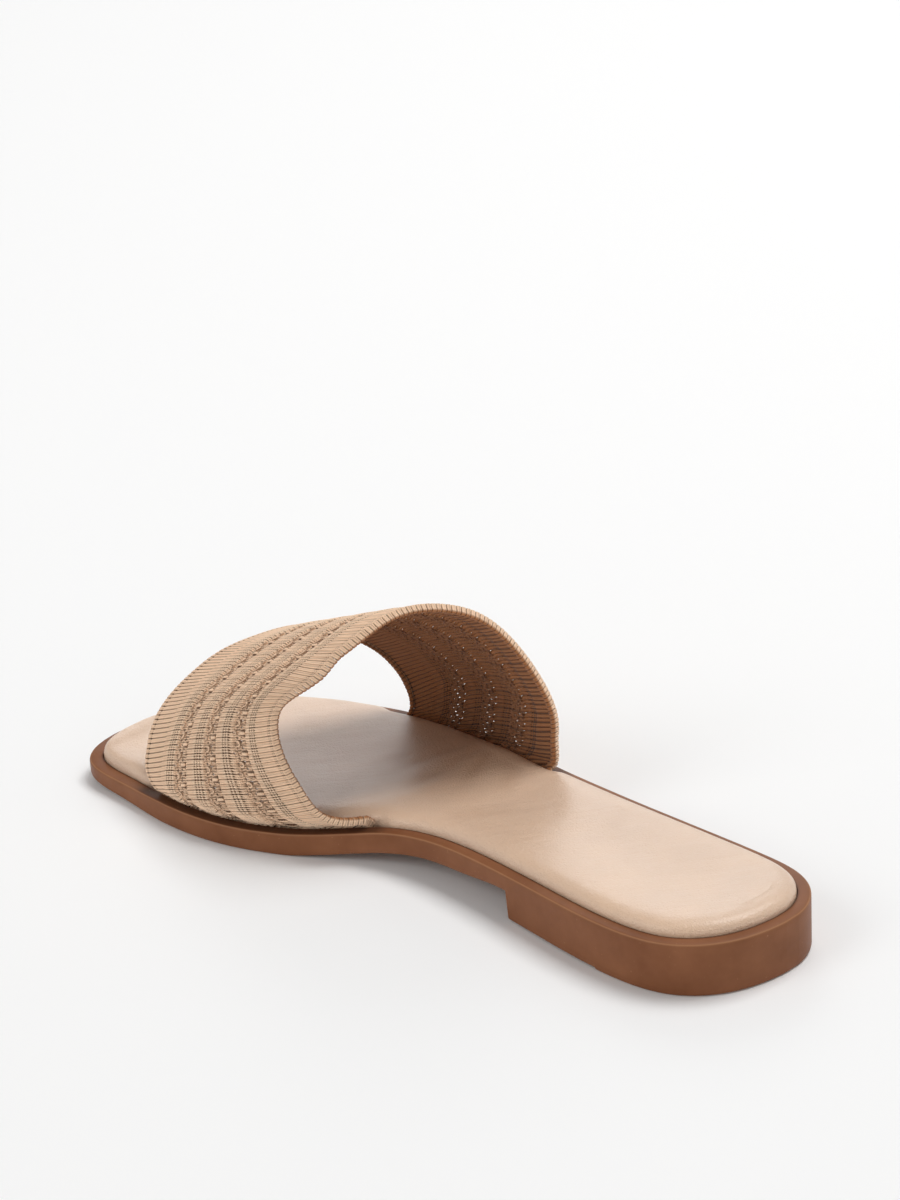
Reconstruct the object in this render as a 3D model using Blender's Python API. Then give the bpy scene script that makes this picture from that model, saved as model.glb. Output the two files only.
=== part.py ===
"""Slide sandal, right shoe: a moulded outsole, a padded footbed and a knitted strap.

The shoe stands on z = 0 with its toe towards +Y and its little-toe side towards +X.
Sections are given as shares of the named sizes, so a changed size carries its shape with it.
"""
import math

import bmesh
import bpy
import numpy as np

# Overall sizes, in metres
LENGTH = 0.256
BALL_WIDTH = 0.0972
INSTEP_HEIGHT = 0.0625
CLEARANCE = 0.0003

# Outsole: a moulded unit with its heel, its rim and a tray for the footbed
HEEL_THICKNESS = 0.0169
FOREFOOT_THICKNESS = 0.0073
TOE_THICKNESS = 0.0054
ARCH_HEIGHT = 0.0094
TOE_SPRING = 0.0028
HEEL_LENGTH = 0.0820
HEEL_BREAST_LEAN = 0.0009
HEEL_TREAD_LENGTH = 0.0436
HEEL_TREAD_STEP = 0.0005
TREAD_BEVEL = 0.0010
RIM_WIDTH = 0.0039
RIM_WIDTH_TOE = 0.0044
RIM_ROUND = 0.0008
TRAY_DEPTH = 0.0024

# Footbed: a padded sock with a rolled edge that stands proud of the rim
FOOTBED_PROUD = 0.0038
FOOTBED_ROLL = 0.0034
FOOTBED_DISH = 0.0009
NOTCH_BLEND = 0.0060
NOTCH_BACK_ROOM = 0.0006
NOTCH_FRONT_ROOM = 0.0036

# Strap: one knitted wall, raised where it is ribbed and thin where it is openwork
STRAP_WALL = 0.0016
STRAP_RAISE = 0.0008
STRAP_STAND = 0.0020
RAISE_FADE = 0.0050

# How finely the surfaces are cut
OUTLINE_SAMPLES = 900
TIP_SAMPLE = 0.0004
HEEL_RUNGS = 8
SHANK_RUNGS = 22
TOE_RUNGS = 12
SOLE_COLUMNS = 4
FOOTBED_COLUMNS = 10
ROLL_STEPS = 4
STRAP_STEPS = 34

# The outsole's outline, once round from the back of the heel by the big-toe side:
# along is a share of LENGTH from the heel, side a share of half BALL_WIDTH.
OUTLINE = (
    # along, side
    (0.004, -0.097),
    (0.024, -0.381),
    (0.066, -0.591),
    (0.147, -0.665),
    (0.275, -0.588),
    (0.391, -0.500),
    (0.505, -0.510),
    (0.615, -0.759),
    (0.713, -0.957),
    (0.815, -0.996),
    (0.912, -0.940),
    (0.977, -0.854),
    (0.998, -0.591),
    (0.992, -0.103),
    (0.961, 0.342),
    (0.900, 0.646),
    (0.819, 0.837),
    (0.731, 0.965),
    (0.649, 1.000),
    (0.573, 0.932),
    (0.479, 0.788),
    (0.358, 0.689),
    (0.241, 0.636),
    (0.117, 0.591),
    (0.036, 0.459),
    (0.004, 0.212),
)

# The outsole seen from the side. rise is the share of the heel's extra thickness that the
# rim has, arch the share of ARCH_HEIGHT under the shank, spring the share of TOE_SPRING,
# thin the share of the toe's thinning and wide the share of the rim's extra width.
PROFILE = (
    # along, rise, arch, spring, thin, wide
    (0.000, 1.000, 1.00, 0.00, 0.00, 0.0),
    (0.155, 0.905, 1.00, 0.00, 0.00, 0.0),
    (0.250, 0.870, 1.00, 0.00, 0.00, 0.0),
    (0.327, 0.810, 1.00, 0.00, 0.00, 0.0),
    (0.405, 0.740, 0.79, 0.00, 0.00, 0.0),
    (0.464, 0.645, 0.70, 0.00, 0.00, 0.0),
    (0.522, 0.480, 0.50, 0.00, 0.00, 0.0),
    (0.561, 0.290, 0.30, 0.00, 0.00, 0.0),
    (0.600, 0.125, 0.12, 0.00, 0.00, 0.0),
    (0.639, 0.030, 0.00, 0.00, 0.00, 0.0),
    (0.700, 0.000, 0.00, 0.00, 0.00, 0.0),
    (0.815, 0.000, 0.00, 0.00, 0.00, 0.1),
    (0.874, 0.000, 0.00, 0.15, 0.45, 0.6),
    (0.932, 0.000, 0.00, 0.40, 0.90, 1.0),
    (0.971, 0.000, 0.00, 0.70, 1.00, 1.0),
    (1.000, 0.000, 0.00, 1.00, 1.00, 1.0),
)

# Where the strap's two legs stand in the tray, as shares of LENGTH
STRAP_FEET = {
    "medial": {"back": 0.539, "front": 0.839},
    "lateral": {"back": 0.449, "front": 0.741},
}

# The outer face's back and front edges, round the arch from the big-toe side: side is a share
# of half BALL_WIDTH, along of LENGTH, and high of INSTEP_HEIGHT above the rim. bow is the
# share of the rim's own curve that the wall still follows there.
STRAP = (
    # round, back side, back along, back high, front side, front along, front high, bow
    (0.083, -0.675, 0.583, 0.051, -0.864, 0.866, 0.141, 1.00),
    (0.167, -0.767, 0.631, 0.262, -0.728, 0.880, 0.285, 0.60),
    (0.250, -0.749, 0.651, 0.529, -0.558, 0.882, 0.389, 0.30),
    (0.333, -0.617, 0.624, 0.729, -0.368, 0.877, 0.470, 0.10),
    (0.417, -0.401, 0.586, 0.888, -0.163, 0.865, 0.544, 0.00),
    (0.500, -0.138, 0.562, 1.002, 0.053, 0.844, 0.589, 0.00),
    (0.583, 0.134, 0.539, 1.001, 0.278, 0.823, 0.603, 0.00),
    (0.667, 0.372, 0.508, 0.916, 0.484, 0.799, 0.562, 0.10),
    (0.750, 0.533, 0.481, 0.746, 0.669, 0.771, 0.467, 0.30),
    (0.833, 0.646, 0.460, 0.535, 0.807, 0.755, 0.344, 0.60),
    (0.917, 0.710, 0.446, 0.288, 0.895, 0.742, 0.176, 0.90),
)

# The knitted bands across the strap from its front edge: where each ends, as a share of
# the strap's width, and how far it is raised, as a share of STRAP_RAISE.
BANDS = (
    # end, raised
    (0.030, 1.0),
    (0.150, 0.7),
    (0.255, 1.0),
    (0.350, 0.0),
    (0.465, 1.0),
    (0.555, 0.0),
    (0.665, 1.0),
    (0.745, 0.0),
    (0.825, 1.0),
    (0.965, 0.7),
    (1.000, 1.0),
)
BAND_EDGE = 0.006


def smooth_curve(stations, points, at, closed=False):
    """A cubic spline through points at the stations; an open one has straight ends."""
    stations = np.asarray(stations, float)
    points = np.asarray(points, float)
    if closed:
        points = np.vstack([points, points[:1]])
    step = np.diff(stations)
    slope = np.diff(points, axis=0) / step[:, None]
    count = len(stations)
    matrix = np.zeros((count, count))
    known = np.zeros_like(points)
    for i in range(1, count - 1):
        matrix[i, i - 1:i + 2] = step[i - 1], 2 * (step[i - 1] + step[i]), step[i]
        known[i] = 6 * (slope[i] - slope[i - 1])
    if closed:
        matrix[0, 0], matrix[0, -1] = 1, -1
        matrix[-1, 0], matrix[-1, 1] = 2 * step[0], step[0]
        matrix[-1, -2], matrix[-1, -1] = step[-1], 2 * step[-1]
        known[-1] = 6 * (slope[0] - slope[-1])
    else:
        matrix[0, 0] = matrix[-1, -1] = 1
    bend = np.linalg.solve(matrix, known)
    at = np.asarray(at, float)
    span = np.clip(np.searchsorted(stations, at, side="right") - 1, 0, count - 2)
    width = step[span][:, None]
    after = ((at - stations[span])[:, None]) / width
    before = 1 - after
    straight = before * points[span] + after * points[span + 1]
    curved = (before ** 3 - before) * bend[span] + (after ** 3 - after) * bend[span + 1]
    return straight + curved * width ** 2 / 6


def steady_curve(stations, values, at):
    """A curve through a table's column that never swings past its rows."""
    stations = np.asarray(stations, float)
    values = np.asarray(values, float)
    step = np.diff(stations)
    slope = np.diff(values) / step
    tangent = np.zeros(len(values))
    for i in range(1, len(values) - 1):
        if slope[i - 1] * slope[i] > 0:
            left, right = 2 * step[i] + step[i - 1], step[i] + 2 * step[i - 1]
            tangent[i] = (left + right) / (left / slope[i - 1] + right / slope[i])
    at = np.clip(np.asarray(at, float), stations[0], stations[-1])
    i = np.clip(np.searchsorted(stations, at, side="right") - 1, 0, len(values) - 2)
    t = (at - stations[i]) / step[i]
    return ((1 + 2 * t) * (1 - t) ** 2 * values[i] + t * (1 - t) ** 2 * step[i] * tangent[i]
            + t * t * (3 - 2 * t) * values[i + 1] + t * t * (t - 1) * step[i] * tangent[i + 1])


def ease(value):
    """From 0 to 1 with level ends."""
    value = np.clip(value, 0.0, 1.0)
    return value * value * (3 - 2 * value)


def profile(column, along):
    """One column of the side view's table, at shares of the length."""
    names = ("along", "rise", "arch", "spring", "thin", "wide")
    rows = np.array(PROFILE)
    return steady_curve(rows[:, 0], rows[:, names.index(column)], along)


def rim_height(along):
    """The top of the rim."""
    return (FOREFOOT_THICKNESS + (HEEL_THICKNESS - FOREFOOT_THICKNESS) * profile("rise", along)
            + TOE_SPRING * profile("spring", along)
            - (FOREFOOT_THICKNESS - TOE_THICKNESS) * profile("thin", along))


def tread_height(along):
    """The underside: heel tread, a low step, the breast, the arch, the ball and the toe."""
    along = np.asarray(along, float)
    height = ARCH_HEIGHT * profile("arch", along) + TOE_SPRING * profile("spring", along)
    breast = HEEL_LENGTH / LENGTH
    height = np.where(along <= breast + 1e-9, HEEL_TREAD_STEP, height)
    return np.where(along <= HEEL_TREAD_LENGTH / LENGTH + 1e-9, 0.0, height)


def rim_width(along):
    return RIM_WIDTH + (RIM_WIDTH_TOE - RIM_WIDTH) * profile("wide", along)


def outline_sides():
    """The two sides of the outline from heel to toe: for each its points and its normals."""
    table = np.array(OUTLINE)
    points = np.column_stack([table[:, 1] * BALL_WIDTH / 2, table[:, 0] * LENGTH])
    ring = np.vstack([points, points[:1]])
    stations = np.concatenate([[0], np.cumsum(np.linalg.norm(np.diff(ring, axis=0), axis=1))])
    at = np.linspace(0, stations[-1], OUTLINE_SAMPLES, endpoint=False)
    curve = smooth_curve(stations, points, at, closed=True)
    low, high = curve.min(axis=0), curve.max(axis=0)
    curve = (curve - low) / (high - low)
    curve = np.column_stack([(curve[:, 0] - 0.5) * BALL_WIDTH, curve[:, 1] * LENGTH])
    tangent = np.roll(curve, -1, axis=0) - np.roll(curve, 1, axis=0)
    tangent /= np.linalg.norm(tangent, axis=1)[:, None]
    outward = np.column_stack([-tangent[:, 1], tangent[:, 0]])
    heel, toe = curve[:, 1].argmin(), curve[:, 1].argmax()
    order = (heel + np.arange(OUTLINE_SAMPLES)) % OUTLINE_SAMPLES
    turn = (toe - heel) % OUTLINE_SAMPLES
    medial, lateral = order[:turn + 1], order[turn:][::-1]
    return {"medial": (curve[medial], outward[medial]),
            "lateral": (curve[lateral], outward[lateral])}


SIDES = outline_sides()


def edge_point(side, along, inset):
    """Points in plan on one side, a distance in from the outline, at shares of the length."""
    points, outward = SIDES[side]
    y = np.asarray(along, float) * LENGTH
    x = np.interp(y, points[:, 1], points[:, 0])
    normal = np.column_stack([np.interp(y, points[:, 1], outward[:, k]) for k in (0, 1)])
    normal /= np.linalg.norm(normal, axis=1)[:, None]
    return np.column_stack([x, y - LENGTH / 2]) - normal * np.asarray(inset)[..., None]


def rungs():
    """Shares of the length where the sole is cut across, closer at both tips and steps."""
    breast = HEEL_LENGTH / LENGTH
    lean = HEEL_BREAST_LEAN / LENGTH
    tread = HEEL_TREAD_LENGTH / LENGTH
    heel_cap, toe_cap = 0.6 * tread, 0.87
    heel = [TIP_SAMPLE + (heel_cap - TIP_SAMPLE) * (k / HEEL_RUNGS) ** 2
            for k in range(HEEL_RUNGS + 1)]
    steps = [tread, tread + HEEL_TREAD_STEP / LENGTH, (tread + breast) / 2, breast]
    shank = [breast + lean + (toe_cap - breast - lean) * k / SHANK_RUNGS
             for k in range(SHANK_RUNGS)]
    toe = [1 - TIP_SAMPLE - (1 - TIP_SAMPLE - toe_cap) * (1 - k / TOE_RUNGS) ** 2
           for k in range(TOE_RUNGS + 1)]
    notches = []
    for feet in STRAP_FEET.values():
        back = feet["back"] - NOTCH_BACK_ROOM / LENGTH
        front = feet["front"] + NOTCH_FRONT_ROOM / LENGTH
        reach = NOTCH_BLEND / LENGTH
        notches += [back - reach, back - reach / 2, back, front, front + reach / 2, front + reach]
    plain = [share for share in shank + toe
             if min(abs(share - place) for place in notches) > reach / 4]
    return np.array(sorted(heel + steps + plain + notches))


def side_rings(along, inset, height):
    """The two sides of one ring: medial and lateral points from heel to toe."""
    inset = np.broadcast_to(inset, along.shape)
    height = np.broadcast_to(height, along.shape)
    return [np.column_stack([edge_point(side, along, inset), height])
            for side in ("medial", "lateral")]


def add_rings(mesh, rings):
    """Walls between rings, listed so that their outer face comes out on top."""
    loops = []
    for medial, lateral in rings:
        points = np.vstack([medial, lateral[::-1]])
        loops.append([mesh.verts.new(point) for point in points])
    count = len(loops[0])
    for lower, upper in zip(loops, loops[1:]):
        for k in range(count):
            after = (k + 1) % count
            mesh.faces.new((lower[k], upper[k], upper[after], lower[after]))
    return loops


def add_cap(mesh, loop, columns, sink=0.0, faces_up=True):
    """Fill a ring with rungs of quads; sink dishes the middle by that depth."""
    half = len(loop) // 2
    medial, lateral = loop[:half], loop[half:][::-1]
    grid = [[medial[0], lateral[0]]]
    for left, right in zip(medial[1:-1], lateral[1:-1]):
        row = [left]
        span = (right.co - left.co).length
        depth = sink * min(1.0, span / (BALL_WIDTH / 2))
        for k in range(1, columns):
            place = left.co.lerp(right.co, k / columns)
            place.z -= depth * math.sin(math.pi * k / columns)
            row.append(mesh.verts.new(place))
        grid.append(row + [right])
    grid.append([medial[-1], lateral[-1]])
    for near, far in zip(grid, grid[1:]):
        if len(near) == len(far):
            strips = [(near[k:k + 2], far[k:k + 2]) for k in range(columns)]
        else:
            strips = [(near, far)]
        for below, above in strips:
            corners = list(below) + list(above)[::-1]
            mesh.faces.new(corners if faces_up else corners[::-1])


def paint(name, colour, roughness):
    material = bpy.data.materials.new(name)
    material.use_nodes = True
    shader = material.node_tree.nodes["Principled BSDF"]
    shader.inputs["Base Color"].default_value = (*colour, 1)
    shader.inputs["Roughness"].default_value = roughness
    shader.inputs["Metallic"].default_value = 0.0
    return material


def finish_piece(name, mesh, material):
    bmesh.ops.recalc_face_normals(mesh, faces=mesh.faces)
    data = bpy.data.meshes.new(name)
    mesh.to_mesh(data)
    mesh.free()
    data.materials.append(material)
    data.shade_smooth()
    data.set_sharp_from_angle(angle=math.radians(35))
    piece = bpy.data.objects.new(name, data)
    bpy.context.collection.objects.link(piece)
    return piece


def build_outsole():
    """Moulded in one: tread, heel, wall, rounded rim and the tray inside the rim."""
    along = rungs()
    top, tread, rim = rim_height(along), tread_height(along), rim_width(along)
    rings = [
        side_rings(along, TREAD_BEVEL, tread),
        side_rings(along, 0.0, tread + TREAD_BEVEL),
        side_rings(along, 0.0, top - RIM_ROUND),
        side_rings(along, RIM_ROUND * (1 - math.sin(math.pi / 4)),
                   top - RIM_ROUND * (1 - math.sin(math.pi / 4))),
        side_rings(along, RIM_ROUND, top),
        side_rings(along, rim, top),
        side_rings(along, rim, top - TRAY_DEPTH),
    ]
    mesh = bmesh.new()
    loops = add_rings(mesh, rings)
    add_cap(mesh, loops[0], SOLE_COLUMNS, faces_up=False)
    add_cap(mesh, loops[-1], SOLE_COLUMNS)
    return finish_piece("outsole", mesh, paint("outsole_rubber", (0.20, 0.092, 0.042), 0.42))


def notch(side, along):
    """1 where the footbed makes room for a leg of the strap, 0 clear of it."""
    feet = STRAP_FEET[side]
    back = (along * LENGTH - feet["back"] * LENGTH + NOTCH_BACK_ROOM) / NOTCH_BLEND + 1
    front = (feet["front"] * LENGTH + NOTCH_FRONT_ROOM - along * LENGTH) / NOTCH_BLEND + 1
    return ease(back) * ease(front)


def build_footbed():
    """The padded sock: flat below, rolled round its edge and slightly dished on top."""
    along = rungs()
    bottom = rim_height(along) - TRAY_DEPTH + CLEARANCE
    top = rim_height(along) + FOOTBED_PROUD
    slot = STRAP_WALL + CLEARANCE
    sides = ("medial", "lateral")
    inset = {side: rim_width(along) + CLEARANCE + slot * notch(side, along) for side in sides}

    def ring(extra, height):
        return [np.column_stack([edge_point(side, along, inset[side] + extra), height])
                for side in sides]

    rings = [ring(0.0, bottom), ring(0.0, top - FOOTBED_ROLL)]
    for k in range(1, ROLL_STEPS + 1):
        angle = math.pi / 2 * k / ROLL_STEPS
        rings.append(ring(FOOTBED_ROLL * (1 - math.cos(angle)),
                          top - FOOTBED_ROLL * (1 - math.sin(angle))))
    mesh = bmesh.new()
    loops = add_rings(mesh, rings)
    add_cap(mesh, loops[0], SOLE_COLUMNS, faces_up=False)
    add_cap(mesh, loops[-1], FOOTBED_COLUMNS, sink=FOOTBED_DISH)
    return finish_piece("footbed", mesh, paint("footbed_leather", (0.60, 0.40, 0.285), 0.38))


def strap_shares():
    """Shares across the strap, two beside each step between bands and one inside each."""
    shares = [0.0]
    start = 0.0
    for end, _ in BANDS:
        shares.append((start + end) / 2)
        if end < 1:
            shares += [end - BAND_EDGE, end + BAND_EDGE]
        start = end
    return np.array(shares + [1.0])


def band_sink(share):
    """How far the band at a share of the width lies below the tallest ribs."""
    for end, raised in BANDS:
        if share < end:
            return STRAP_RAISE * (1 - raised)
    return STRAP_RAISE * (1 - BANDS[-1][1])


def foot_shares(side, shares):
    """Shares of the length along one leg of the strap, from its front to its back."""
    feet = STRAP_FEET[side]
    return feet["front"] + (feet["back"] - feet["front"]) * shares


def strap_foot(side, shares):
    """The strap's outer face at rim level on one side."""
    along = foot_shares(side, shares)
    return np.column_stack([edge_point(side, along, rim_width(along) + CLEARANCE),
                            rim_height(along)])


def strap_face(shares):
    """The strap's outer face: rows round the arch, columns from front to back."""
    feet = {side: strap_foot(side, shares) for side in ("medial", "lateral")}
    bows = {}
    for side, foot in feet.items():
        bows[side] = foot - (foot[0] + np.outer(shares, foot[-1] - foot[0]))
        bows[side][:, 2] = 0
    stand = np.array([0.0, 0.0, STRAP_STAND])
    rows = [feet["medial"] + stand]
    stations = [0.0]
    for (around, back_side, back_along, back_high,
         front_side, front_along, front_high, bow) in STRAP:
        rim = (1 - around) * feet["medial"][:, 2] + around * feet["lateral"][:, 2]
        back = np.array([back_side * BALL_WIDTH / 2, (back_along - 0.5) * LENGTH,
                         rim[-1] + back_high * INSTEP_HEIGHT])
        front = np.array([front_side * BALL_WIDTH / 2, (front_along - 0.5) * LENGTH,
                          rim[0] + front_high * INSTEP_HEIGHT])
        near = "medial" if around < 0.5 else "lateral"
        rows.append(front + np.outer(shares, back - front) + bow * bows[near])
        stations.append(around)
    rows.append(feet["lateral"] + stand)
    stations.append(1.0)
    flat = np.array(rows).reshape(len(rows), -1)
    at = np.linspace(0, 1, STRAP_STEPS + 1)
    arch = smooth_curve(stations, flat, at).reshape(len(at), len(shares), 3)
    tuck = np.array([0.0, 0.0, TRAY_DEPTH - CLEARANCE])
    start = [feet["medial"] - tuck, feet["medial"]]
    end = [feet["lateral"], feet["lateral"] - tuck]
    return np.concatenate([start, arch, end])


def surface_normals(grid):
    """Unit normals of a grid of points, pointing out of the arch."""
    across = np.gradient(grid, axis=1)
    around = np.gradient(grid, axis=0)
    normal = np.cross(across, around)
    return normal / np.linalg.norm(normal, axis=2)[:, :, None]


def build_strap():
    """One closed wall that stands in the tray at both ends and is open at toe and heel."""
    shares = strap_shares()
    face = strap_face(shares)
    normal = surface_normals(face)
    for rows, side in (((0, 1, 2), "medial"), ((-1, -2, -3), "lateral")):
        along = foot_shares(side, shares)
        level = edge_point(side, along, 0.0) - edge_point(side, along, 1.0)
        normal[list(rows)] = np.column_stack([level, np.zeros(len(shares))])
    height = face[:, :, 2] - np.maximum(face[1, :, 2], face[-2, :, 2])
    fade = ease((height - STRAP_STAND) / RAISE_FADE)
    sink = np.array([band_sink(share) for share in shares])[None, :] * fade
    outer = face - normal * sink[:, :, None]
    inner = face - normal * (STRAP_WALL + STRAP_RAISE * fade)[:, :, None]
    mesh = bmesh.new()
    outside, inside = [[[mesh.verts.new(point) for point in row] for row in grid]
                       for grid in (outer, inner)]
    steps, columns = len(face) - 1, len(shares) - 1
    for i in range(steps):
        for k in range(columns):
            for sheet in (outside, inside):
                mesh.faces.new((sheet[i][k], sheet[i][k + 1], sheet[i + 1][k + 1],
                                sheet[i + 1][k]))
        for k in (0, columns):
            mesh.faces.new((outside[i][k], outside[i + 1][k], inside[i + 1][k], inside[i][k]))
    for k in range(columns):
        for i in (0, steps):
            mesh.faces.new((outside[i][k], outside[i][k + 1], inside[i][k + 1], inside[i][k]))
    return finish_piece("strap", mesh, paint("strap_knit", (0.52, 0.345, 0.215), 0.85))


def main():
    for item in list(bpy.data.objects):
        bpy.data.objects.remove(item, do_unlink=True)
    build_outsole()
    build_footbed()
    build_strap()


main()
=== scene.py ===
# %% [markdown]
# # A slide sandal with a knitted strap
# The shoe has three parts: a moulded outsole, a padded footbed lying in its tray, and one
# knitted strap whose two ends stand between them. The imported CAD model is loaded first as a
# fixed frame, and every finer piece below is built inside the space of the solid it replaces.

# %% Load the frame
import math

import bmesh
import bpy
import numpy as np
from mathutils import Matrix, Vector, noise


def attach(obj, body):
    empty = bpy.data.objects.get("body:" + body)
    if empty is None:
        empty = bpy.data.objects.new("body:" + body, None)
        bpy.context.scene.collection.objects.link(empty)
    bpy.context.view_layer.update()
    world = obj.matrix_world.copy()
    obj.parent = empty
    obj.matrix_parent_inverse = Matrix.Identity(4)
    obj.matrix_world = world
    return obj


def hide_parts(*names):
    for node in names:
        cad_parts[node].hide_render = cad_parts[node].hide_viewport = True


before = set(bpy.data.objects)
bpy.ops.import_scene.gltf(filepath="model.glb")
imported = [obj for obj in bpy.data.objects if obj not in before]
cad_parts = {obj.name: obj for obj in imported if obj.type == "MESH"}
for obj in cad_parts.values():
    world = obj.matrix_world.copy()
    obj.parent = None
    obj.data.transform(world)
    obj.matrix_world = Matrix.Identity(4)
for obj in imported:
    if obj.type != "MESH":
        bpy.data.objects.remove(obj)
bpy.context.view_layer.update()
print("frame nodes:", sorted(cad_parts))

# %% [markdown]
# ## Short ways to make things
# Objects and nodes are made in many places below, so each has one short way to be made, and
# one small class builds up a material step by step.

# %% Helpers
def add_object(name, data):
    made = bpy.data.objects.new(name, data)
    bpy.context.scene.collection.objects.link(made)
    return made


def fill_inputs(tree, node, inputs):
    """Each input, by name or number, takes its value, or a link where that is a socket."""
    for name, value in dict(inputs).items():
        socket = node.inputs[name]
        if isinstance(value, bpy.types.NodeSocket):
            tree.links.new(value, socket)
        else:
            socket.default_value = (*value, 1) if socket.type == "RGBA" else value


def add_node(tree, kind, inputs=(), **settings):
    """Add a node with its settings and inputs, and return its outputs."""
    node = tree.nodes.new(kind)
    for name, value in settings.items():
        setattr(node, name, value)
    fill_inputs(tree, node, inputs)
    return node.outputs


def math_node(tree, operation, *values, clamp=False):
    return add_node(tree, "ShaderNodeMath", enumerate(values), operation=operation,
                    use_clamp=clamp)[0]


def noise_node(tree, vector, scale, detail=3.0, roughness=0.55):
    return add_node(tree, "ShaderNodeTexNoise",
                    {"Vector": vector, "Scale": scale, "Detail": detail,
                     "Roughness": roughness})["Fac"]


class Finish:
    """A material under construction: its Principled shader and short ways to add nodes."""

    def __init__(self, name):
        self.material = bpy.data.materials.new(name)
        self.material.use_nodes = True
        self.tree = self.material.node_tree
        self.place = self.node("ShaderNodeTexCoord")["Object"]

    def node(self, kind, inputs=(), **settings):
        return add_node(self.tree, kind, inputs, **settings)

    def group(self, group, **inputs):
        named = {label.replace("_", " "): value for label, value in inputs.items()}
        return self.node("ShaderNodeGroup", {"Vector": self.place, **named}, node_tree=group)

    def math(self, operation, *values, clamp=False):
        return math_node(self.tree, operation, *values, clamp=clamp)

    def attribute(self, name):
        return self.node("ShaderNodeAttribute", attribute_name=name)["Fac"]

    def ramp(self, factor, low, high):
        """From one colour to another; low and high are each a place and a colour."""
        ramp = self.tree.nodes.new("ShaderNodeValToRGB")
        for element, (place, colour) in zip(ramp.color_ramp.elements, (low, high)):
            element.position, element.color = place, (*colour, 1)
        fill_inputs(self.tree, ramp, {"Fac": factor})
        return ramp.outputs["Color"]

    def mix(self, factor, first, second):
        mixer = self.tree.nodes.new("ShaderNodeMix")
        mixer.data_type = "RGBA"
        number = {socket.identifier: k for k, socket in enumerate(mixer.inputs)}
        fill_inputs(self.tree, mixer, {number["Factor_Float"]: factor,
                                       number["A_Color"]: first, number["B_Color"]: second})
        return next(s for s in mixer.outputs if s.identifier == "Result_Color")

    def bump(self, height, distance, strength=1.0, before=None):
        inputs = {"Height": height, "Distance": distance, "Strength": strength}
        if before is not None:
            inputs["Normal"] = before
        return self.node("ShaderNodeBump", inputs)["Normal"]

    def wire(self, inputs):
        fill_inputs(self.tree, self.tree.nodes["Principled BSDF"], inputs)


# %% [markdown]
# ## The camera
# A product picture is taken from above and behind with a long lens. The camera stands beside
# the heel, looks towards the toe and is turned slightly about its own axis. It is placed from
# its azimuth, elevation and roll, so that no shift is needed in any other view.

# %% Camera
CAMERA_PLACE = (-0.6549, -0.6480, 0.4966)
CAMERA_AZIMUTH, CAMERA_ELEVATION, CAMERA_ROLL = -45.435, 24.276, -3.156
CAMERA_LENS = 102.14


def place_camera():
    turn, lift, roll = (math.radians(angle) for angle in
                        (CAMERA_AZIMUTH, CAMERA_ELEVATION, CAMERA_ROLL))
    back = Vector((math.sin(turn) * math.cos(lift), -math.cos(turn) * math.cos(lift),
                   math.sin(lift)))
    right = Vector((math.cos(turn), math.sin(turn), 0))
    up = back.cross(right)
    rolled = right * math.cos(roll) + up * math.sin(roll)
    camera = add_object("camera", bpy.data.cameras.new("camera"))
    axes = Matrix((rolled, back.cross(rolled), back)).transposed()
    camera.matrix_world = Matrix.Translation(CAMERA_PLACE) @ axes.to_4x4()
    camera.data.lens = CAMERA_LENS
    camera.data.sensor_width = 36.0
    camera.data.clip_start, camera.data.clip_end = 0.01, 20.0
    bpy.context.scene.camera = camera
    return camera


print("camera at", tuple(place_camera().location))

# %% [markdown]
# ## Floor and studio light
# The shoe stands on white paper that glows a little far from the shoe, so that it melts
# into the pale surround. A large soft box high over the far side is the key and throws the
# short soft shadow. A low box behind the shoe draws the sheen on the footbed and a third
# lights the near side. The surround is bright at the horizon and darker above.

# %% Floor and lights
PAPER, FLOOR_REACH = (0.94, 0.94, 0.94), 4.0
# The paper's glow: how far from the shoe it begins and is full, and its strength
GLOW_FROM, GLOW_FULL, GLOW_STRENGTH = 1.3, 3.2, 0.80
SURROUND = (1.0, 0.995, 0.985)
# The surround's strength at the horizon and high up, and the height where it stops falling
SURROUND_LOW, SURROUND_HIGH, SURROUND_FADE = 1.25, 0.26, 0.50
LIGHT_AIM = Vector((0, 0, 0.03))
LIGHTS = (
    # name, place, size, watts
    ("key_light", (1.12, -0.36, 2.72), 1.55, 51.5),
    ("sheen_light", (1.90, 1.84, 1.42), 1.2, 12.0),
    ("side_light", (-2.5, 0.85, 1.95), 1.6, 21.0),
)


def build_floor():
    mesh = bpy.data.meshes.new("floor")
    reach = FLOOR_REACH
    mesh.from_pydata([(-reach, -reach, 0), (reach, -reach, 0), (reach, reach, 0),
                      (-reach, reach, 0)], [], [(0, 1, 2, 3)])
    paper = Finish("floor_paper")
    away = paper.node("ShaderNodeVectorMath", {0: paper.place}, operation="LENGTH")["Value"]
    glow = paper.node("ShaderNodeMapRange",
                      {"Value": away, "From Min": GLOW_FROM, "From Max": GLOW_FULL,
                       "To Max": GLOW_STRENGTH}, interpolation_type="SMOOTHSTEP")
    paper.wire({"Base Color": PAPER, "Roughness": 0.9, "Specular IOR Level": 0.0,
                "Emission Color": (1, 1, 1), "Emission Strength": glow["Result"]})
    mesh.materials.append(paper.material)
    floor = add_object("floor", mesh)


def soft_box(name, place, size, watts):
    light = bpy.data.lights.new(name, "AREA")
    light.shape, light.size, light.energy = "SQUARE", size, watts
    lamp = add_object(name, light)
    lamp.location = place
    lamp.rotation_euler = (LIGHT_AIM - Vector(place)).to_track_quat("-Z", "Y").to_euler()


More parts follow.
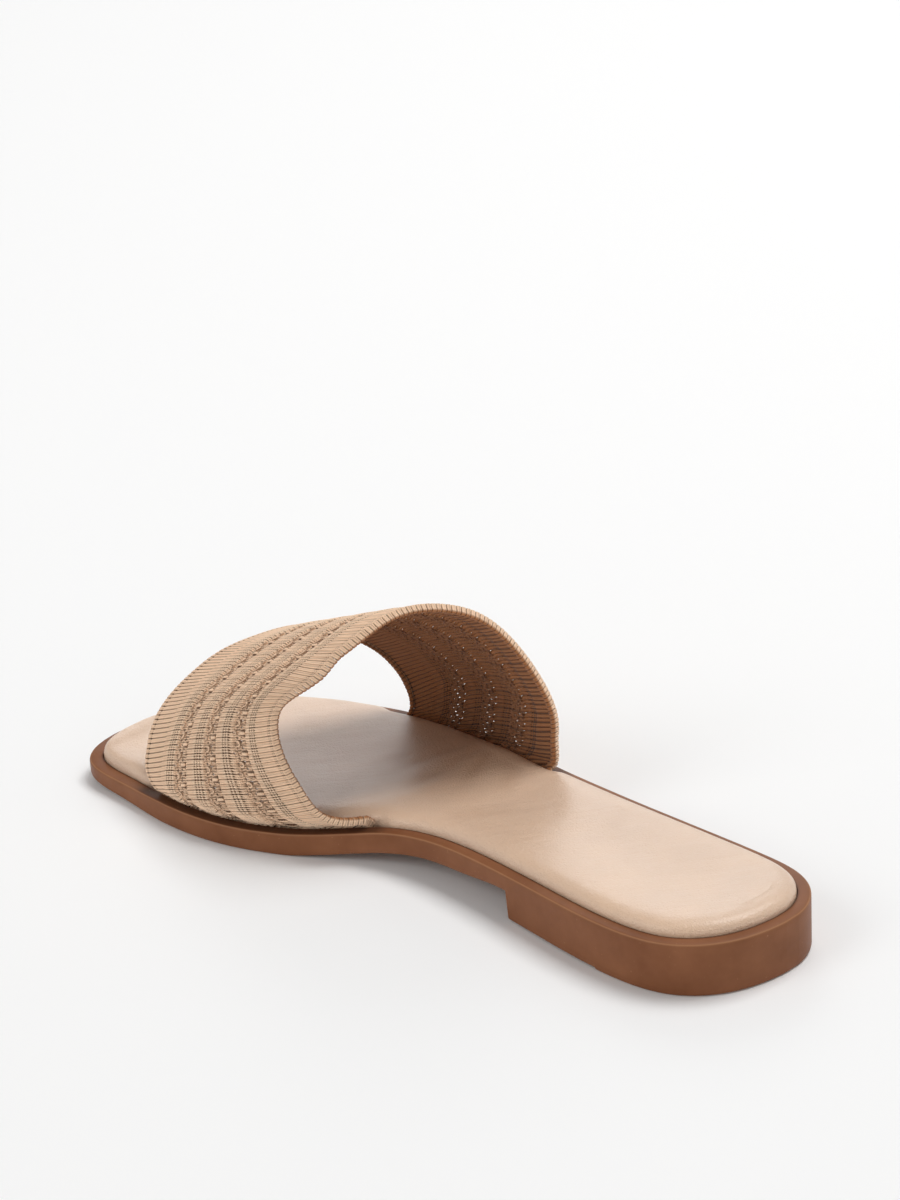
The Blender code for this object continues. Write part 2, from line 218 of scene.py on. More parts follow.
def build_surround():
    world = bpy.data.worlds.new("surround")
    world.use_nodes = True
    tree = world.node_tree
    direction = add_node(tree, "ShaderNodeTexCoord")["Generated"]
    height = add_node(tree, "ShaderNodeSeparateXYZ", {0: direction})["Z"]
    fall = add_node(tree, "ShaderNodeMapRange",
                    {"Value": height, "From Min": 0.0, "From Max": SURROUND_FADE,
                     "To Min": SURROUND_LOW, "To Max": SURROUND_HIGH})
    fill_inputs(tree, tree.nodes["Background"],
                {"Color": SURROUND, "Strength": fall["Result"]})
    bpy.context.scene.world = world


build_floor()
build_surround()
bpy.context.scene.view_settings.view_transform = "Standard"
for light in LIGHTS:
    soft_box(*light)
print("lights:", [light[0] for light in LIGHTS])

# %% [markdown]
# ## The sizes of the shoe
# The same named sizes as in the CAD source drive the finer pieces. The outline is a closed
# spline through points given as shares of the length and of half the ball width, and the
# side view is a table of how the rim and the tread rise along the shoe.

# %% Sizes and tables
LENGTH, BALL_WIDTH, INSTEP_HEIGHT, CLEARANCE = 0.256, 0.0972, 0.0625, 0.0003
HEEL_THICKNESS, FOREFOOT_THICKNESS, TOE_THICKNESS = 0.0169, 0.0073, 0.0054
ARCH_HEIGHT, TOE_SPRING = 0.0094, 0.0028
HEEL_LENGTH, HEEL_BREAST_LEAN = 0.0820, 0.0009
HEEL_TREAD_LENGTH, HEEL_TREAD_STEP, TREAD_BEVEL = 0.0436, 0.0005, 0.0010
RIM_WIDTH, RIM_WIDTH_TOE, RIM_ROUND, TRAY_DEPTH = 0.0039, 0.0044, 0.0008, 0.0024
FOOTBED_PROUD, FOOTBED_ROLL, FOOTBED_DISH = 0.0038, 0.0034, 0.0009
NOTCH_BLEND, NOTCH_BACK_ROOM, NOTCH_FRONT_ROOM = 0.0060, 0.0006, 0.0036
STRAP_WALL, STRAP_RAISE, STRAP_STAND = 0.0016, 0.0008, 0.0020
OUTLINE_SAMPLES = 1800
TIP_SAMPLE = 0.0004

OUTLINE = (
    # along, side
    (0.004, -0.097), (0.024, -0.381), (0.066, -0.591), (0.147, -0.665), (0.275, -0.588),
    (0.391, -0.500), (0.505, -0.510), (0.615, -0.759), (0.713, -0.957), (0.815, -0.996),
    (0.912, -0.940), (0.977, -0.854), (0.998, -0.591), (0.992, -0.103), (0.961, 0.342),
    (0.900, 0.646), (0.819, 0.837), (0.731, 0.965), (0.649, 1.000), (0.573, 0.932),
    (0.479, 0.788), (0.358, 0.689), (0.241, 0.636), (0.117, 0.591), (0.036, 0.459),
    (0.004, 0.212),
)
PROFILE = (
    # along, rise, arch, spring, thin, wide
    (0.000, 1.000, 1.00, 0.00, 0.00, 0.0), (0.155, 0.905, 1.00, 0.00, 0.00, 0.0),
    (0.250, 0.870, 1.00, 0.00, 0.00, 0.0), (0.327, 0.810, 1.00, 0.00, 0.00, 0.0),
    (0.405, 0.740, 0.79, 0.00, 0.00, 0.0), (0.464, 0.645, 0.70, 0.00, 0.00, 0.0),
    (0.522, 0.480, 0.50, 0.00, 0.00, 0.0), (0.561, 0.290, 0.30, 0.00, 0.00, 0.0),
    (0.600, 0.125, 0.12, 0.00, 0.00, 0.0), (0.639, 0.030, 0.00, 0.00, 0.00, 0.0),
    (0.700, 0.000, 0.00, 0.00, 0.00, 0.0), (0.815, 0.000, 0.00, 0.00, 0.00, 0.1),
    (0.874, 0.000, 0.00, 0.15, 0.45, 0.6), (0.932, 0.000, 0.00, 0.40, 0.90, 1.0),
    (0.971, 0.000, 0.00, 0.70, 1.00, 1.0), (1.000, 0.000, 0.00, 1.00, 1.00, 1.0),
)
STRAP_FEET = {"medial": (0.839, 0.539), "lateral": (0.741, 0.449)}
STRAP = (
    # round, back side, back along, back high, front side, front along, front high, bow
    (0.083, -0.675, 0.583, 0.051, -0.864, 0.866, 0.141, 1.00),
    (0.167, -0.767, 0.631, 0.262, -0.728, 0.880, 0.285, 0.60),
    (0.250, -0.749, 0.651, 0.529, -0.558, 0.882, 0.389, 0.30),
    (0.333, -0.617, 0.624, 0.729, -0.368, 0.877, 0.470, 0.10),
    (0.417, -0.401, 0.586, 0.888, -0.163, 0.865, 0.544, 0.00),
    (0.500, -0.138, 0.562, 1.002, 0.053, 0.844, 0.589, 0.00),
    (0.583, 0.134, 0.539, 1.001, 0.278, 0.823, 0.603, 0.00),
    (0.667, 0.372, 0.508, 0.916, 0.484, 0.799, 0.562, 0.10),
    (0.750, 0.533, 0.481, 0.746, 0.669, 0.771, 0.467, 0.30),
    (0.833, 0.646, 0.460, 0.535, 0.807, 0.755, 0.344, 0.60),
    (0.917, 0.710, 0.446, 0.288, 0.895, 0.742, 0.176, 0.90),
)


# %% Curves through the tables
def smooth_curve(stations, points, at, closed=False):
    """A cubic spline through points at the stations; an open one has straight ends."""
    stations, points = np.asarray(stations, float), np.asarray(points, float)
    if closed:
        points = np.vstack([points, points[:1]])
    step = np.diff(stations)
    slope = np.diff(points, axis=0) / step[:, None]
    count = len(stations)
    matrix, known = np.zeros((count, count)), np.zeros_like(points)
    for i in range(1, count - 1):
        matrix[i, i - 1:i + 2] = step[i - 1], 2 * (step[i - 1] + step[i]), step[i]
        known[i] = 6 * (slope[i] - slope[i - 1])
    if closed:
        matrix[0, 0], matrix[0, -1] = 1, -1
        matrix[-1, 0], matrix[-1, 1] = 2 * step[0], step[0]
        matrix[-1, -2], matrix[-1, -1] = step[-1], 2 * step[-1]
        known[-1] = 6 * (slope[0] - slope[-1])
    else:
        matrix[0, 0] = matrix[-1, -1] = 1
    bend = np.linalg.solve(matrix, known)
    at = np.asarray(at, float)
    span = np.clip(np.searchsorted(stations, at, side="right") - 1, 0, count - 2)
    width = step[span][:, None]
    after = ((at - stations[span])[:, None]) / width
    before = 1 - after
    straight = before * points[span] + after * points[span + 1]
    curved = (before ** 3 - before) * bend[span] + (after ** 3 - after) * bend[span + 1]
    return straight + curved * width ** 2 / 6


def steady_curve(stations, values, at):
    """A curve through a table's column that never swings past its rows."""
    stations, values = np.asarray(stations, float), np.asarray(values, float)
    step = np.diff(stations)
    slope = np.diff(values) / step
    tangent = np.zeros(len(values))
    for i in range(1, len(values) - 1):
        if slope[i - 1] * slope[i] > 0:
            left, right = 2 * step[i] + step[i - 1], step[i] + 2 * step[i - 1]
            tangent[i] = (left + right) / (left / slope[i - 1] + right / slope[i])
    at = np.clip(np.asarray(at, float), stations[0], stations[-1])
    i = np.clip(np.searchsorted(stations, at, side="right") - 1, 0, len(values) - 2)
    t = (at - stations[i]) / step[i]
    return ((1 + 2 * t) * (1 - t) ** 2 * values[i] + t * (1 - t) ** 2 * step[i] * tangent[i]
            + t * t * (3 - 2 * t) * values[i + 1] + t * t * (t - 1) * step[i] * tangent[i + 1])


# %% Heights and widths along the sole
def ease(value):
    """From 0 to 1 with level ends."""
    value = np.clip(value, 0.0, 1.0)
    return value * value * (3 - 2 * value)


def profile(column, along):
    names = ("along", "rise", "arch", "spring", "thin", "wide")
    rows = np.array(PROFILE)
    return steady_curve(rows[:, 0], rows[:, names.index(column)], along)


def rim_height(along):
    return (FOREFOOT_THICKNESS + (HEEL_THICKNESS - FOREFOOT_THICKNESS) * profile("rise", along)
            + TOE_SPRING * profile("spring", along)
            - (FOREFOOT_THICKNESS - TOE_THICKNESS) * profile("thin", along))


def tread_height(along):
    along = np.asarray(along, float)
    height = ARCH_HEIGHT * profile("arch", along) + TOE_SPRING * profile("spring", along)
    height = np.where(along <= HEEL_LENGTH / LENGTH + 1e-9, HEEL_TREAD_STEP, height)
    return np.where(along <= HEEL_TREAD_LENGTH / LENGTH + 1e-9, 0.0, height)


def rim_width(along):
    return RIM_WIDTH + (RIM_WIDTH_TOE - RIM_WIDTH) * profile("wide", along)


def notch(side, along):
    """1 where the footbed makes room for a leg of the strap, 0 clear of it."""
    front, back = STRAP_FEET[side]
    behind = (along * LENGTH - back * LENGTH + NOTCH_BACK_ROOM) / NOTCH_BLEND + 1
    ahead = (front * LENGTH + NOTCH_FRONT_ROOM - along * LENGTH) / NOTCH_BLEND + 1
    return ease(behind) * ease(ahead)


# %% The outline in plan
def outline_sides():
    """The two sides of the outline from heel to toe: for each its points and its normals."""
    table = np.array(OUTLINE)
    points = np.column_stack([table[:, 1] * BALL_WIDTH / 2, table[:, 0] * LENGTH])
    ring = np.vstack([points, points[:1]])
    stations = np.concatenate([[0], np.cumsum(np.linalg.norm(np.diff(ring, axis=0), axis=1))])
    at = np.linspace(0, stations[-1], OUTLINE_SAMPLES, endpoint=False)
    curve = smooth_curve(stations, points, at, closed=True)
    low, high = curve.min(axis=0), curve.max(axis=0)
    curve = (curve - low) / (high - low)
    curve = np.column_stack([(curve[:, 0] - 0.5) * BALL_WIDTH, curve[:, 1] * LENGTH])
    tangent = np.roll(curve, -1, axis=0) - np.roll(curve, 1, axis=0)
    tangent /= np.linalg.norm(tangent, axis=1)[:, None]
    outward = np.column_stack([-tangent[:, 1], tangent[:, 0]])
    heel, toe = curve[:, 1].argmin(), curve[:, 1].argmax()
    order = (heel + np.arange(OUTLINE_SAMPLES)) % OUTLINE_SAMPLES
    turn = (toe - heel) % OUTLINE_SAMPLES
    medial, lateral = order[:turn + 1], order[turn:][::-1]
    return {"medial": (curve[medial], outward[medial]),
            "lateral": (curve[lateral], outward[lateral])}


SIDES = outline_sides()


def edge_point(side, along, inset):
    """Points in plan on one side, a distance in from the outline, at shares of the length."""
    points, outward = SIDES[side]
    y = np.asarray(along, float) * LENGTH
    x = np.interp(y, points[:, 1], points[:, 0])
    normal = np.column_stack([np.interp(y, points[:, 1], outward[:, k]) for k in (0, 1)])
    normal /= np.linalg.norm(normal, axis=1)[:, None]
    return np.column_stack([x, y - LENGTH / 2]) - normal * np.asarray(inset)[..., None]


print("outline points:", len(SIDES["medial"][0]), "and", len(SIDES["lateral"][0]))

# %% [markdown]
# ## Effects that several materials share
# Rubber, leather and yarn all need some of the same effects: a fine grain that stands up as
# bump, and slow cloudy mottling. Each is built once as a shader node group with named inputs,
# and puts out only a height or a mask, so that every material mixes it in its own strength.


# %% Shader node groups
def new_group(name, numbers, results):
    """A node group that takes a place and named numbers, and puts out the named results."""
    group = bpy.data.node_groups.new(name, "ShaderNodeTree")

    def socket(label, way, kind="Float"):
        return group.interface.new_socket(label, in_out=way, socket_type="NodeSocket" + kind)

    socket("Vector", "INPUT", "Vector")
    for label, value in numbers.items():
        socket(label, "INPUT").default_value = value
    for label in results:
        socket(label, "OUTPUT")
    return group, add_node(group, "NodeGroupInput"), group.nodes.new("NodeGroupOutput")


def build_pebble_group():
    """Leather grain: small rounded cells with fine creases between them."""
    group, into, out = new_group("pebble_grain", {"Cells per Metre": 1300.0, "Softness": 0.5},
                                 ("Height", "Tone"))
    scale = into["Cells per Metre"]
    cells = add_node(group, "ShaderNodeTexVoronoi", {"Vector": into["Vector"], "Scale": scale},
                     feature="DISTANCE_TO_EDGE")
    fine = noise_node(group, into["Vector"], scale, 4.0)
    lifted = math_node(group, "SMOOTH_MIN", cells["Distance"], 0.25, 0.2)
    mixed = math_node(group, "MULTIPLY_ADD", fine, into["Softness"], lifted)
    fill_inputs(group, out, {"Height": mixed, "Tone": fine})
    return group


def build_mottle_group():
    """Slow cloudy patches with a finer cloud over them, from 0 to 1 about a half."""
    group, into, out = new_group("mottle", {"Patches per Metre": 30.0}, ("Cloud", "Speck"))
    scale = into["Patches per Metre"]
    slow = noise_node(group, into["Vector"], scale, 4.0, 0.6)
    fine = noise_node(group, into["Vector"], math_node(group, "MULTIPLY", scale, 24.0), 2.0)
    fill_inputs(group, out, {"Cloud": slow, "Speck": fine})
    return group


PEBBLE_GRAIN, MOTTLE = build_pebble_group(), build_mottle_group()
print("shared effects:", PEBBLE_GRAIN.name, "and", MOTTLE.name)

# %% [markdown]
# ## The outsole
# The real outsole is one moulded unit of satin brown rubber, cut and burnished round its wall.
# It could be an extruded outline with bevels, but the wall rises towards the heel and the toe
# springs, so rings of points from the side view's table are joined instead. The finish is a
# brown with slow mottling and tiny nicks. A warmer line along the tread's round and where the
# wall meets the rim is partly wear and partly painted highlight, and painted shade darkens
# the tread's edge, the rim's inner edge, the tray and the rim where the strap overhangs it.

# %% Rings and caps
HEEL_RUNGS, TREAD_RUNGS, BREAST_RUNGS, SHANK_RUNGS, TOE_RUNGS = 22, 5, 14, 84, 30
# Where the close rungs of both tips end: shares of the heel's tread and of the length
HEEL_CAP, TOE_CAP = 0.6, 0.87
CAP_COLUMNS = 24
DISH_FADE, SHARP_ANGLE = 0.040, math.radians(35)


def rungs():
    """Shares of the length where the sole is cut across, closer at both tips and steps."""
    breast, lean = HEEL_LENGTH / LENGTH, HEEL_BREAST_LEAN / LENGTH
    tread = HEEL_TREAD_LENGTH / LENGTH
    heel_cap = HEEL_CAP * tread
    heel = [TIP_SAMPLE + (heel_cap - TIP_SAMPLE) * (k / HEEL_RUNGS) ** 2
            for k in range(HEEL_RUNGS + 1)]
    steps = [heel_cap + (tread - heel_cap) * k / TREAD_RUNGS for k in range(1, TREAD_RUNGS + 1)]
    steps += [tread + HEEL_TREAD_STEP / LENGTH]
    steps += [tread + (breast - tread) * k / BREAST_RUNGS for k in range(1, BREAST_RUNGS + 1)]
    shank = [breast + lean + (TOE_CAP - breast - lean) * k / SHANK_RUNGS
             for k in range(SHANK_RUNGS)]
    toe = [1 - TIP_SAMPLE - (1 - TIP_SAMPLE - TOE_CAP) * (1 - k / TOE_RUNGS) ** 2
           for k in range(TOE_RUNGS + 1)]
    return np.array(sorted(heel + steps + shank + toe))


def quarter_round(steps):
    """Sine and cosine at even steps of a quarter turn."""
    angles = [math.pi / 2 * k / steps for k in range(steps + 1)]
    return [(math.sin(angle), math.cos(angle)) for angle in angles]


def side_rings(along, inset, height):
    """A ring as its two sides; the inset is the same for both or has a row for each."""
    height = np.broadcast_to(height, along.shape)
    return [np.column_stack([edge_point(side, along, row), height])
            for side, row in zip(SIDES, np.broadcast_to(inset, (2, len(along))))]


# %% Joining rings
def mesh_with_layers(*names):
    mesh = bmesh.new()
    for name in names:
        mesh.verts.layers.float.new(name)
    return mesh


def add_rings(mesh, rings):
    loops = []
    for medial, lateral in rings:
        points = np.vstack([medial, lateral[::-1]])
        loops.append([mesh.verts.new(point) for point in points])
    count = len(loops[0])
    for lower, upper in zip(loops, loops[1:]):
        for k in range(count):
            after = (k + 1) % count
            mesh.faces.new((lower[k], upper[k], upper[after], lower[after]))
    return loops


def add_cap(mesh, loop, columns, sink=0.0, faces_up=True):
    """Fill a ring with rungs of quads; sink dishes the middle by that depth."""
    half = len(loop) // 2
    medial, lateral = loop[:half], loop[half:][::-1]
    grid = [[medial[0], lateral[0]]]
    for left, right in zip(medial[1:-1], lateral[1:-1]):
        row = [left]
        span = (right.co - left.co).length
        depth = sink * min(1.0, span / (BALL_WIDTH / 2))
        depth *= ease((LENGTH / 2 - abs(left.co.y)) / DISH_FADE)
        for k in range(1, columns):
            place = left.co.lerp(right.co, k / columns)
            place.z -= depth * math.sin(math.pi * k / columns) ** 2
            row.append(mesh.verts.new(place))
        grid.append(row + [right])
    grid.append([medial[-1], lateral[-1]])
    for near, far in zip(grid, grid[1:]):
        if len(near) == len(far):
            strips = [(near[k:k + 2], far[k:k + 2]) for k in range(columns)]
        else:
            strips = [(near, far)]
        for below, above in strips:
            corners = list(below) + list(above)[::-1]
            mesh.faces.new(corners if faces_up else corners[::-1])


def to_object(name, mesh):
    data = bpy.data.meshes.new(name)
    mesh.to_mesh(data)
    mesh.free()
    return add_object(name, data)


def finish_piece(name, mesh, material):
    bmesh.ops.recalc_face_normals(mesh, faces=mesh.faces)
    piece = to_object(name, mesh)
    piece.data.materials.append(material)
    piece.data.shade_smooth()
    piece.data.set_sharp_from_angle(angle=SHARP_ANGLE)
    return piece


# %% Outsole finish
SOLE_BROWN, SOLE_DARK = (0.275, 0.111, 0.050), (0.185, 0.065, 0.025)
SOLE_WORN_AND_HIGHLIGHT, SOLE_PAINTED_SHADE = (0.52, 0.27, 0.135), (0.085, 0.030, 0.012)


def sole_finish():
    finish = Finish("outsole_rubber")
    mottle = finish.group(MOTTLE, Patches_per_Metre=38.0)
    colour = finish.ramp(mottle["Cloud"], (0.30, SOLE_DARK), (0.70, SOLE_BROWN))
    # The worn line: partly wear, partly a painted highlight on the rounded edges; the nicks are
    # wear
    colour = finish.mix(finish.attribute("burnish_and_highlight"), colour, SOLE_WORN_AND_HIGHLIGHT)
    # Painted shade on the tread's edge, the rim's inner edge, the tray and the rim under the
    # strap
    colour = finish.mix(finish.attribute("painted_shade"), colour, SOLE_PAINTED_SHADE)
    nick = finish.math("GREATER_THAN", mottle["Speck"], 0.74)
    colour = finish.mix(finish.math("MULTIPLY", nick, 0.35), colour, SOLE_WORN_AND_HIGHLIGHT)
    finish.wire({"Base Color": colour, "Specular IOR Level": 0.18,
                 "Roughness": finish.math("MULTIPLY_ADD", mottle["Cloud"], 0.22, 0.36),
                 "Normal": finish.bump(mottle["Speck"], 0.00006, 0.5)})
    return finish.material


# %% Outsole
ROUND_STEPS, GLUE_LINE = 4, 0.0007
# Rings are numbered from the tread up: 0 to 4 its round, 5 to 7 the wall, 8 to 12 the rim's
# round, 13 and 14 the rim's inner edge, 15 the tray. Each row: ring, and how strong the worn
# line with its painted highlight or the painted shade is there.
WALL_SHARES = (0.1, 0.5, 0.9)
WORN_AND_HIGHLIGHT_RINGS = ((1, 0.30), (2, 0.15), (9, 0.08), (10, 0.45), (11, 0.08))
PAINTED_SHADE_RINGS = ((0, 0.3), (14, 0.85), (15, 1.0))
# Painted shade is darkest on the rim where a leg of the strap overhangs it, and the worn line
# with its painted highlight fades out there
OVERHUNG_RINGS = ((11, 0.50), (12, 0.90), (13, 1.0))


def build_outsole():
    along = rungs()
    top, tread, rim = rim_height(along), tread_height(along), rim_width(along)
    wall_low, wall_high = tread + TREAD_BEVEL, top - RIM_ROUND
    turns = quarter_round(ROUND_STEPS)
    rings = [side_rings(along, TREAD_BEVEL * (1 - sine), tread + TREAD_BEVEL * (1 - cosine))
             for sine, cosine in turns]
    rings += [side_rings(along, 0.0, wall_low + (wall_high - wall_low) * share)
              for share in WALL_SHARES]
    rings += [side_rings(along, RIM_ROUND * (1 - cosine), top - RIM_ROUND * (1 - sine))
              for sine, cosine in turns]
    rings += [side_rings(along, rim - GLUE_LINE, top), side_rings(along, rim, top),
              side_rings(along, rim, top - TRAY_DEPTH)]
    mesh = mesh_with_layers("burnish_and_highlight", "painted_shade")
    burnish_and_highlight, painted_shade = (mesh.verts.layers.float[name] for name in ("burnish_and_highlight", "painted_shade"))
    loops = add_rings(mesh, rings)
    for layer, rows in ((burnish_and_highlight, WORN_AND_HIGHLIGHT_RINGS), (painted_shade, PAINTED_SHADE_RINGS)):
        for number, strength in rows:
            for vertex in loops[number]:
                vertex[layer] = strength
    under = np.concatenate([notch("medial", along), notch("lateral", along)[::-1]])
    for number, strength in OVERHUNG_RINGS:
        for vertex, share in zip(loops[number], under):
            vertex[painted_shade] = strength * share
            vertex[burnish_and_highlight] *= 1 - share
    add_cap(mesh, loops[0], CAP_COLUMNS, faces_up=False)
    add_cap(mesh, loops[-1], CAP_COLUMNS)
    return finish_piece("moulded_outsole", mesh, sole_finish())


outsole = build_outsole()
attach(outsole, "root")
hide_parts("outsole")
print("outsole faces:", len(outsole.data.polygons))

# %% [markdown]
# ## The footbed
# The footbed is foam under thin smooth leather, rolled under all round, and it takes a shallow
# dish where the foot rests. It lies glued in the tray, so nothing inflates it: the padded form
# is drawn directly as rings for the rolled edge, and its soft creases are placed as low
# troughs, most of them fanning out from where the strap pulls on the far side.

# %% Footbed finish
BED_LIGHT, BED_WARM = (0.69, 0.490, 0.356), (0.76, 0.530, 0.370)
BED_CREASE_SHADE = (0.50, 0.30, 0.18)
WRINKLE_TURN, WRINKLE_STRETCH, WRINKLES_PER_METRE = math.radians(-40), 3.5, 170.0


def bed_finish():
    finish = Finish("footbed_leather")
    grain = finish.group(PEBBLE_GRAIN, Cells_per_Metre=1150.0, Softness=0.6)
    mottle = finish.group(MOTTLE, Patches_per_Metre=22.0)
    colour = finish.ramp(mottle["Cloud"], (0.32, BED_WARM), (0.68, BED_LIGHT))
    turned = finish.node("ShaderNodeMapping",
                         {"Vector": finish.place, "Rotation": (0, 0, WRINKLE_TURN),
                          "Scale": (WRINKLE_STRETCH, 1, 1)}, vector_type="TEXTURE")
    wrinkles = noise_node(finish.tree, turned[0], WRINKLES_PER_METRE, 3.0, 0.6)
    soft = finish.bump(mottle["Cloud"], 0.0006, 0.25)
    soft = finish.bump(wrinkles, 0.0014, 0.45, before=soft)
    # The creases are darkened with painted shade
    finish.wire({"Base Color": finish.mix(finish.attribute("crease_shade"), colour, BED_CREASE_SHADE),
                 "Roughness": finish.math("MULTIPLY_ADD", grain["Tone"], 0.16, 0.30),
                 "Normal": finish.bump(grain["Height"], 0.00032, 1.0, before=soft),
                 "Coat Weight": 0.60, "Coat Roughness": 0.34})
    return finish.material


# %% Footbed
ROLL_STEPS, BED_COLUMNS = 12, 44
BED_SHOULDER, BED_SHOULDER_TOE, TOE_BEGINS = 0.0066, 0.0026, 0.80
WAVES_PER_METRE, WAVE_HEIGHT = 55.0, 0.00012
# The depth at which a crease takes its full painted shade, and how strong that shade is
CREASE_FULL, CREASE_TINT = 0.0005, 0.5
CREASES = (
    # start x, start y, end x, end y in metres, half width, depth
    (0.0300, 0.0120, 0.0020, 0.0010, 0.0035, 0.00035),
    (0.0290, 0.0180, -0.0060, 0.0160, 0.0040, 0.00030),
    (0.0300, 0.0260, 0.0000, 0.0340, 0.0040, 0.00028),
    (0.0260, -0.0020, 0.0060, -0.0140, 0.0045, 0.00025),
    (-0.0240, 0.0300, 0.0040, 0.0420, 0.0050, 0.00020),
    (0.0230, -0.0230, 0.0010, -0.0400, 0.0040, 0.00018),
    (0.0220, -0.0500, 0.0020, -0.0620, 0.0045, 0.00015),
    (-0.0120, -0.0100, 0.0060, -0.0260, 0.0045, 0.00013),
)


def crease_depth(x, y):
    """The depth of the listed troughs at a point of the footbed's top."""
    deepest = 0.0
    for x0, y0, x1, y1, half, depth in CREASES:
        run = Vector((x1 - x0, y1 - y0))
        share = min(1.0, max(0.0, (Vector((x - x0, y - y0)) @ run) / run.length_squared))
        away = (Vector((x0, y0)) + run * share - Vector((x, y))).length
        fade = math.sin(math.pi * min(1.0, 0.25 + 0.75 * share))
        deepest = max(deepest, depth * fade * math.exp(-(away / half) ** 2 * 2))
    return deepest


def build_footbed():
    along = rungs()
    bottom = rim_height(along) - TRAY_DEPTH + CLEARANCE
    top = rim_height(along) + FOOTBED_PROUD
    legs = np.array([notch(side, along) for side in SIDES])
    inset = rim_width(along) + CLEARANCE + (STRAP_WALL + CLEARANCE) * legs
    rings = [side_rings(along, inset, bottom), side_rings(along, inset, top - FOOTBED_ROLL)]
    # The roll begins without a ridge: its bend grows slowly out of the level top
    toe = ease((along - TOE_BEGINS) / (1 - TOE_BEGINS))
    shoulder = BED_SHOULDER + (BED_SHOULDER_TOE - BED_SHOULDER) * toe
    for sine, cosine in quarter_round(ROLL_STEPS)[1:]:
        outwards = max(0.0, cosine) ** (2 / 3)
        rings.append(side_rings(along, inset + shoulder * (1 - outwards),
                                top - FOOTBED_ROLL * (1 - sine)))
    mesh = mesh_with_layers("crease_shade")
    layer = mesh.verts.layers.float["crease_shade"]
    loops = add_rings(mesh, rings)
    add_cap(mesh, loops[0], CAP_COLUMNS, faces_up=False)
    below = set(mesh.verts)
    add_cap(mesh, loops[-1], BED_COLUMNS, sink=FOOTBED_DISH)
    for vertex in set(mesh.verts) - below:
        depth = crease_depth(vertex.co.x, vertex.co.y)
        vertex.co.z += noise.noise(vertex.co * WAVES_PER_METRE) * WAVE_HEIGHT - depth
        # Painted shade in the creases, growing with their depth
        vertex[layer] = min(1.0, depth / CREASE_FULL) * CREASE_TINT
    return finish_piece("padded_footbed", mesh, bed_finish())


footbed = build_footbed()
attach(footbed, "root")
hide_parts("footbed")
print("footbed faces:", len(footbed.data.polygons))

# %% [markdown]
# ## The strap's surface
# The strap is one straight piece of knitting, laid over the foot and trimmed where it goes
# into the sole. So its ribs are evenly spaced on the cloth, and meet the sole at a slant. A
# fine surface is lofted through the CAD's rows, and each of its points remembers where it is
# on the flat cloth: how far round from the crown, and how far across from the front edge.

# %% Cloth surface
ARCH_ROWS, FOOT_ROWS, CLOTH_COLUMNS = 150, 6, 72
CLOTH_REACH = 0.240
CLOTH_SLANT = 0.0039
# Between crown and foot the pattern lies further back on the cloth: how strongly round the
# arch from either end, and by what share at each share across
DRIFT_ROUND = ((0.0, 0.04, 0.09, 0.12, 0.16, 0.27, 0.34, 0.42, 0.47, 0.5),
               (0.30, 0.75, 1.12, 1.10, 1.00, 0.90, 0.60, 0.18, 0.0, 0.0))
DRIFT_ACROSS = ((0.0, 0.04, 0.225, 0.33, 0.53, 0.70, 0.77, 0.85, 0.95, 1.0),
                (0.0, 0.01, 0.075, 0.080, 0.082, 0.078, 0.067, 0.052, 0.030, 0.0))
# Where the free back edge sags in a wave on the near side: round the arch, and how far
SAG_STEEP, SAG_PEAK, SAG_GENTLE = 0.405, 0.352, 0.255
SAG_BACK, SAG_DOWN, SAG_SHARE = 0.0020, 0.0010, 0.80
BULGE, BULGE_RISE, BULGE_FALL = 0.0023, 0.0021, 0.0110
# Where the cloth's shares across end up on the trimmed foot of the strap
FOOT_DRIFT = ((0.0, 0.30, 0.51, 0.705, 0.80, 1.0), (0.0, 0.215, 0.42, 0.635, 0.78, 1.0))


def strap_foot(side, shares):
    """The outer face at rim level on one side, and the level direction out of the shoe."""
    front, back = STRAP_FEET[side]
    along = front + (back - front) * np.interp(shares, *FOOT_DRIFT)
    inset = rim_width(along) + CLEARANCE
    level = edge_point(side, along, 0.0) - edge_point(side, along, 1.0)
    return (np.column_stack([edge_point(side, along, inset), rim_height(along)]),
            np.column_stack([level, np.zeros(len(shares))]))


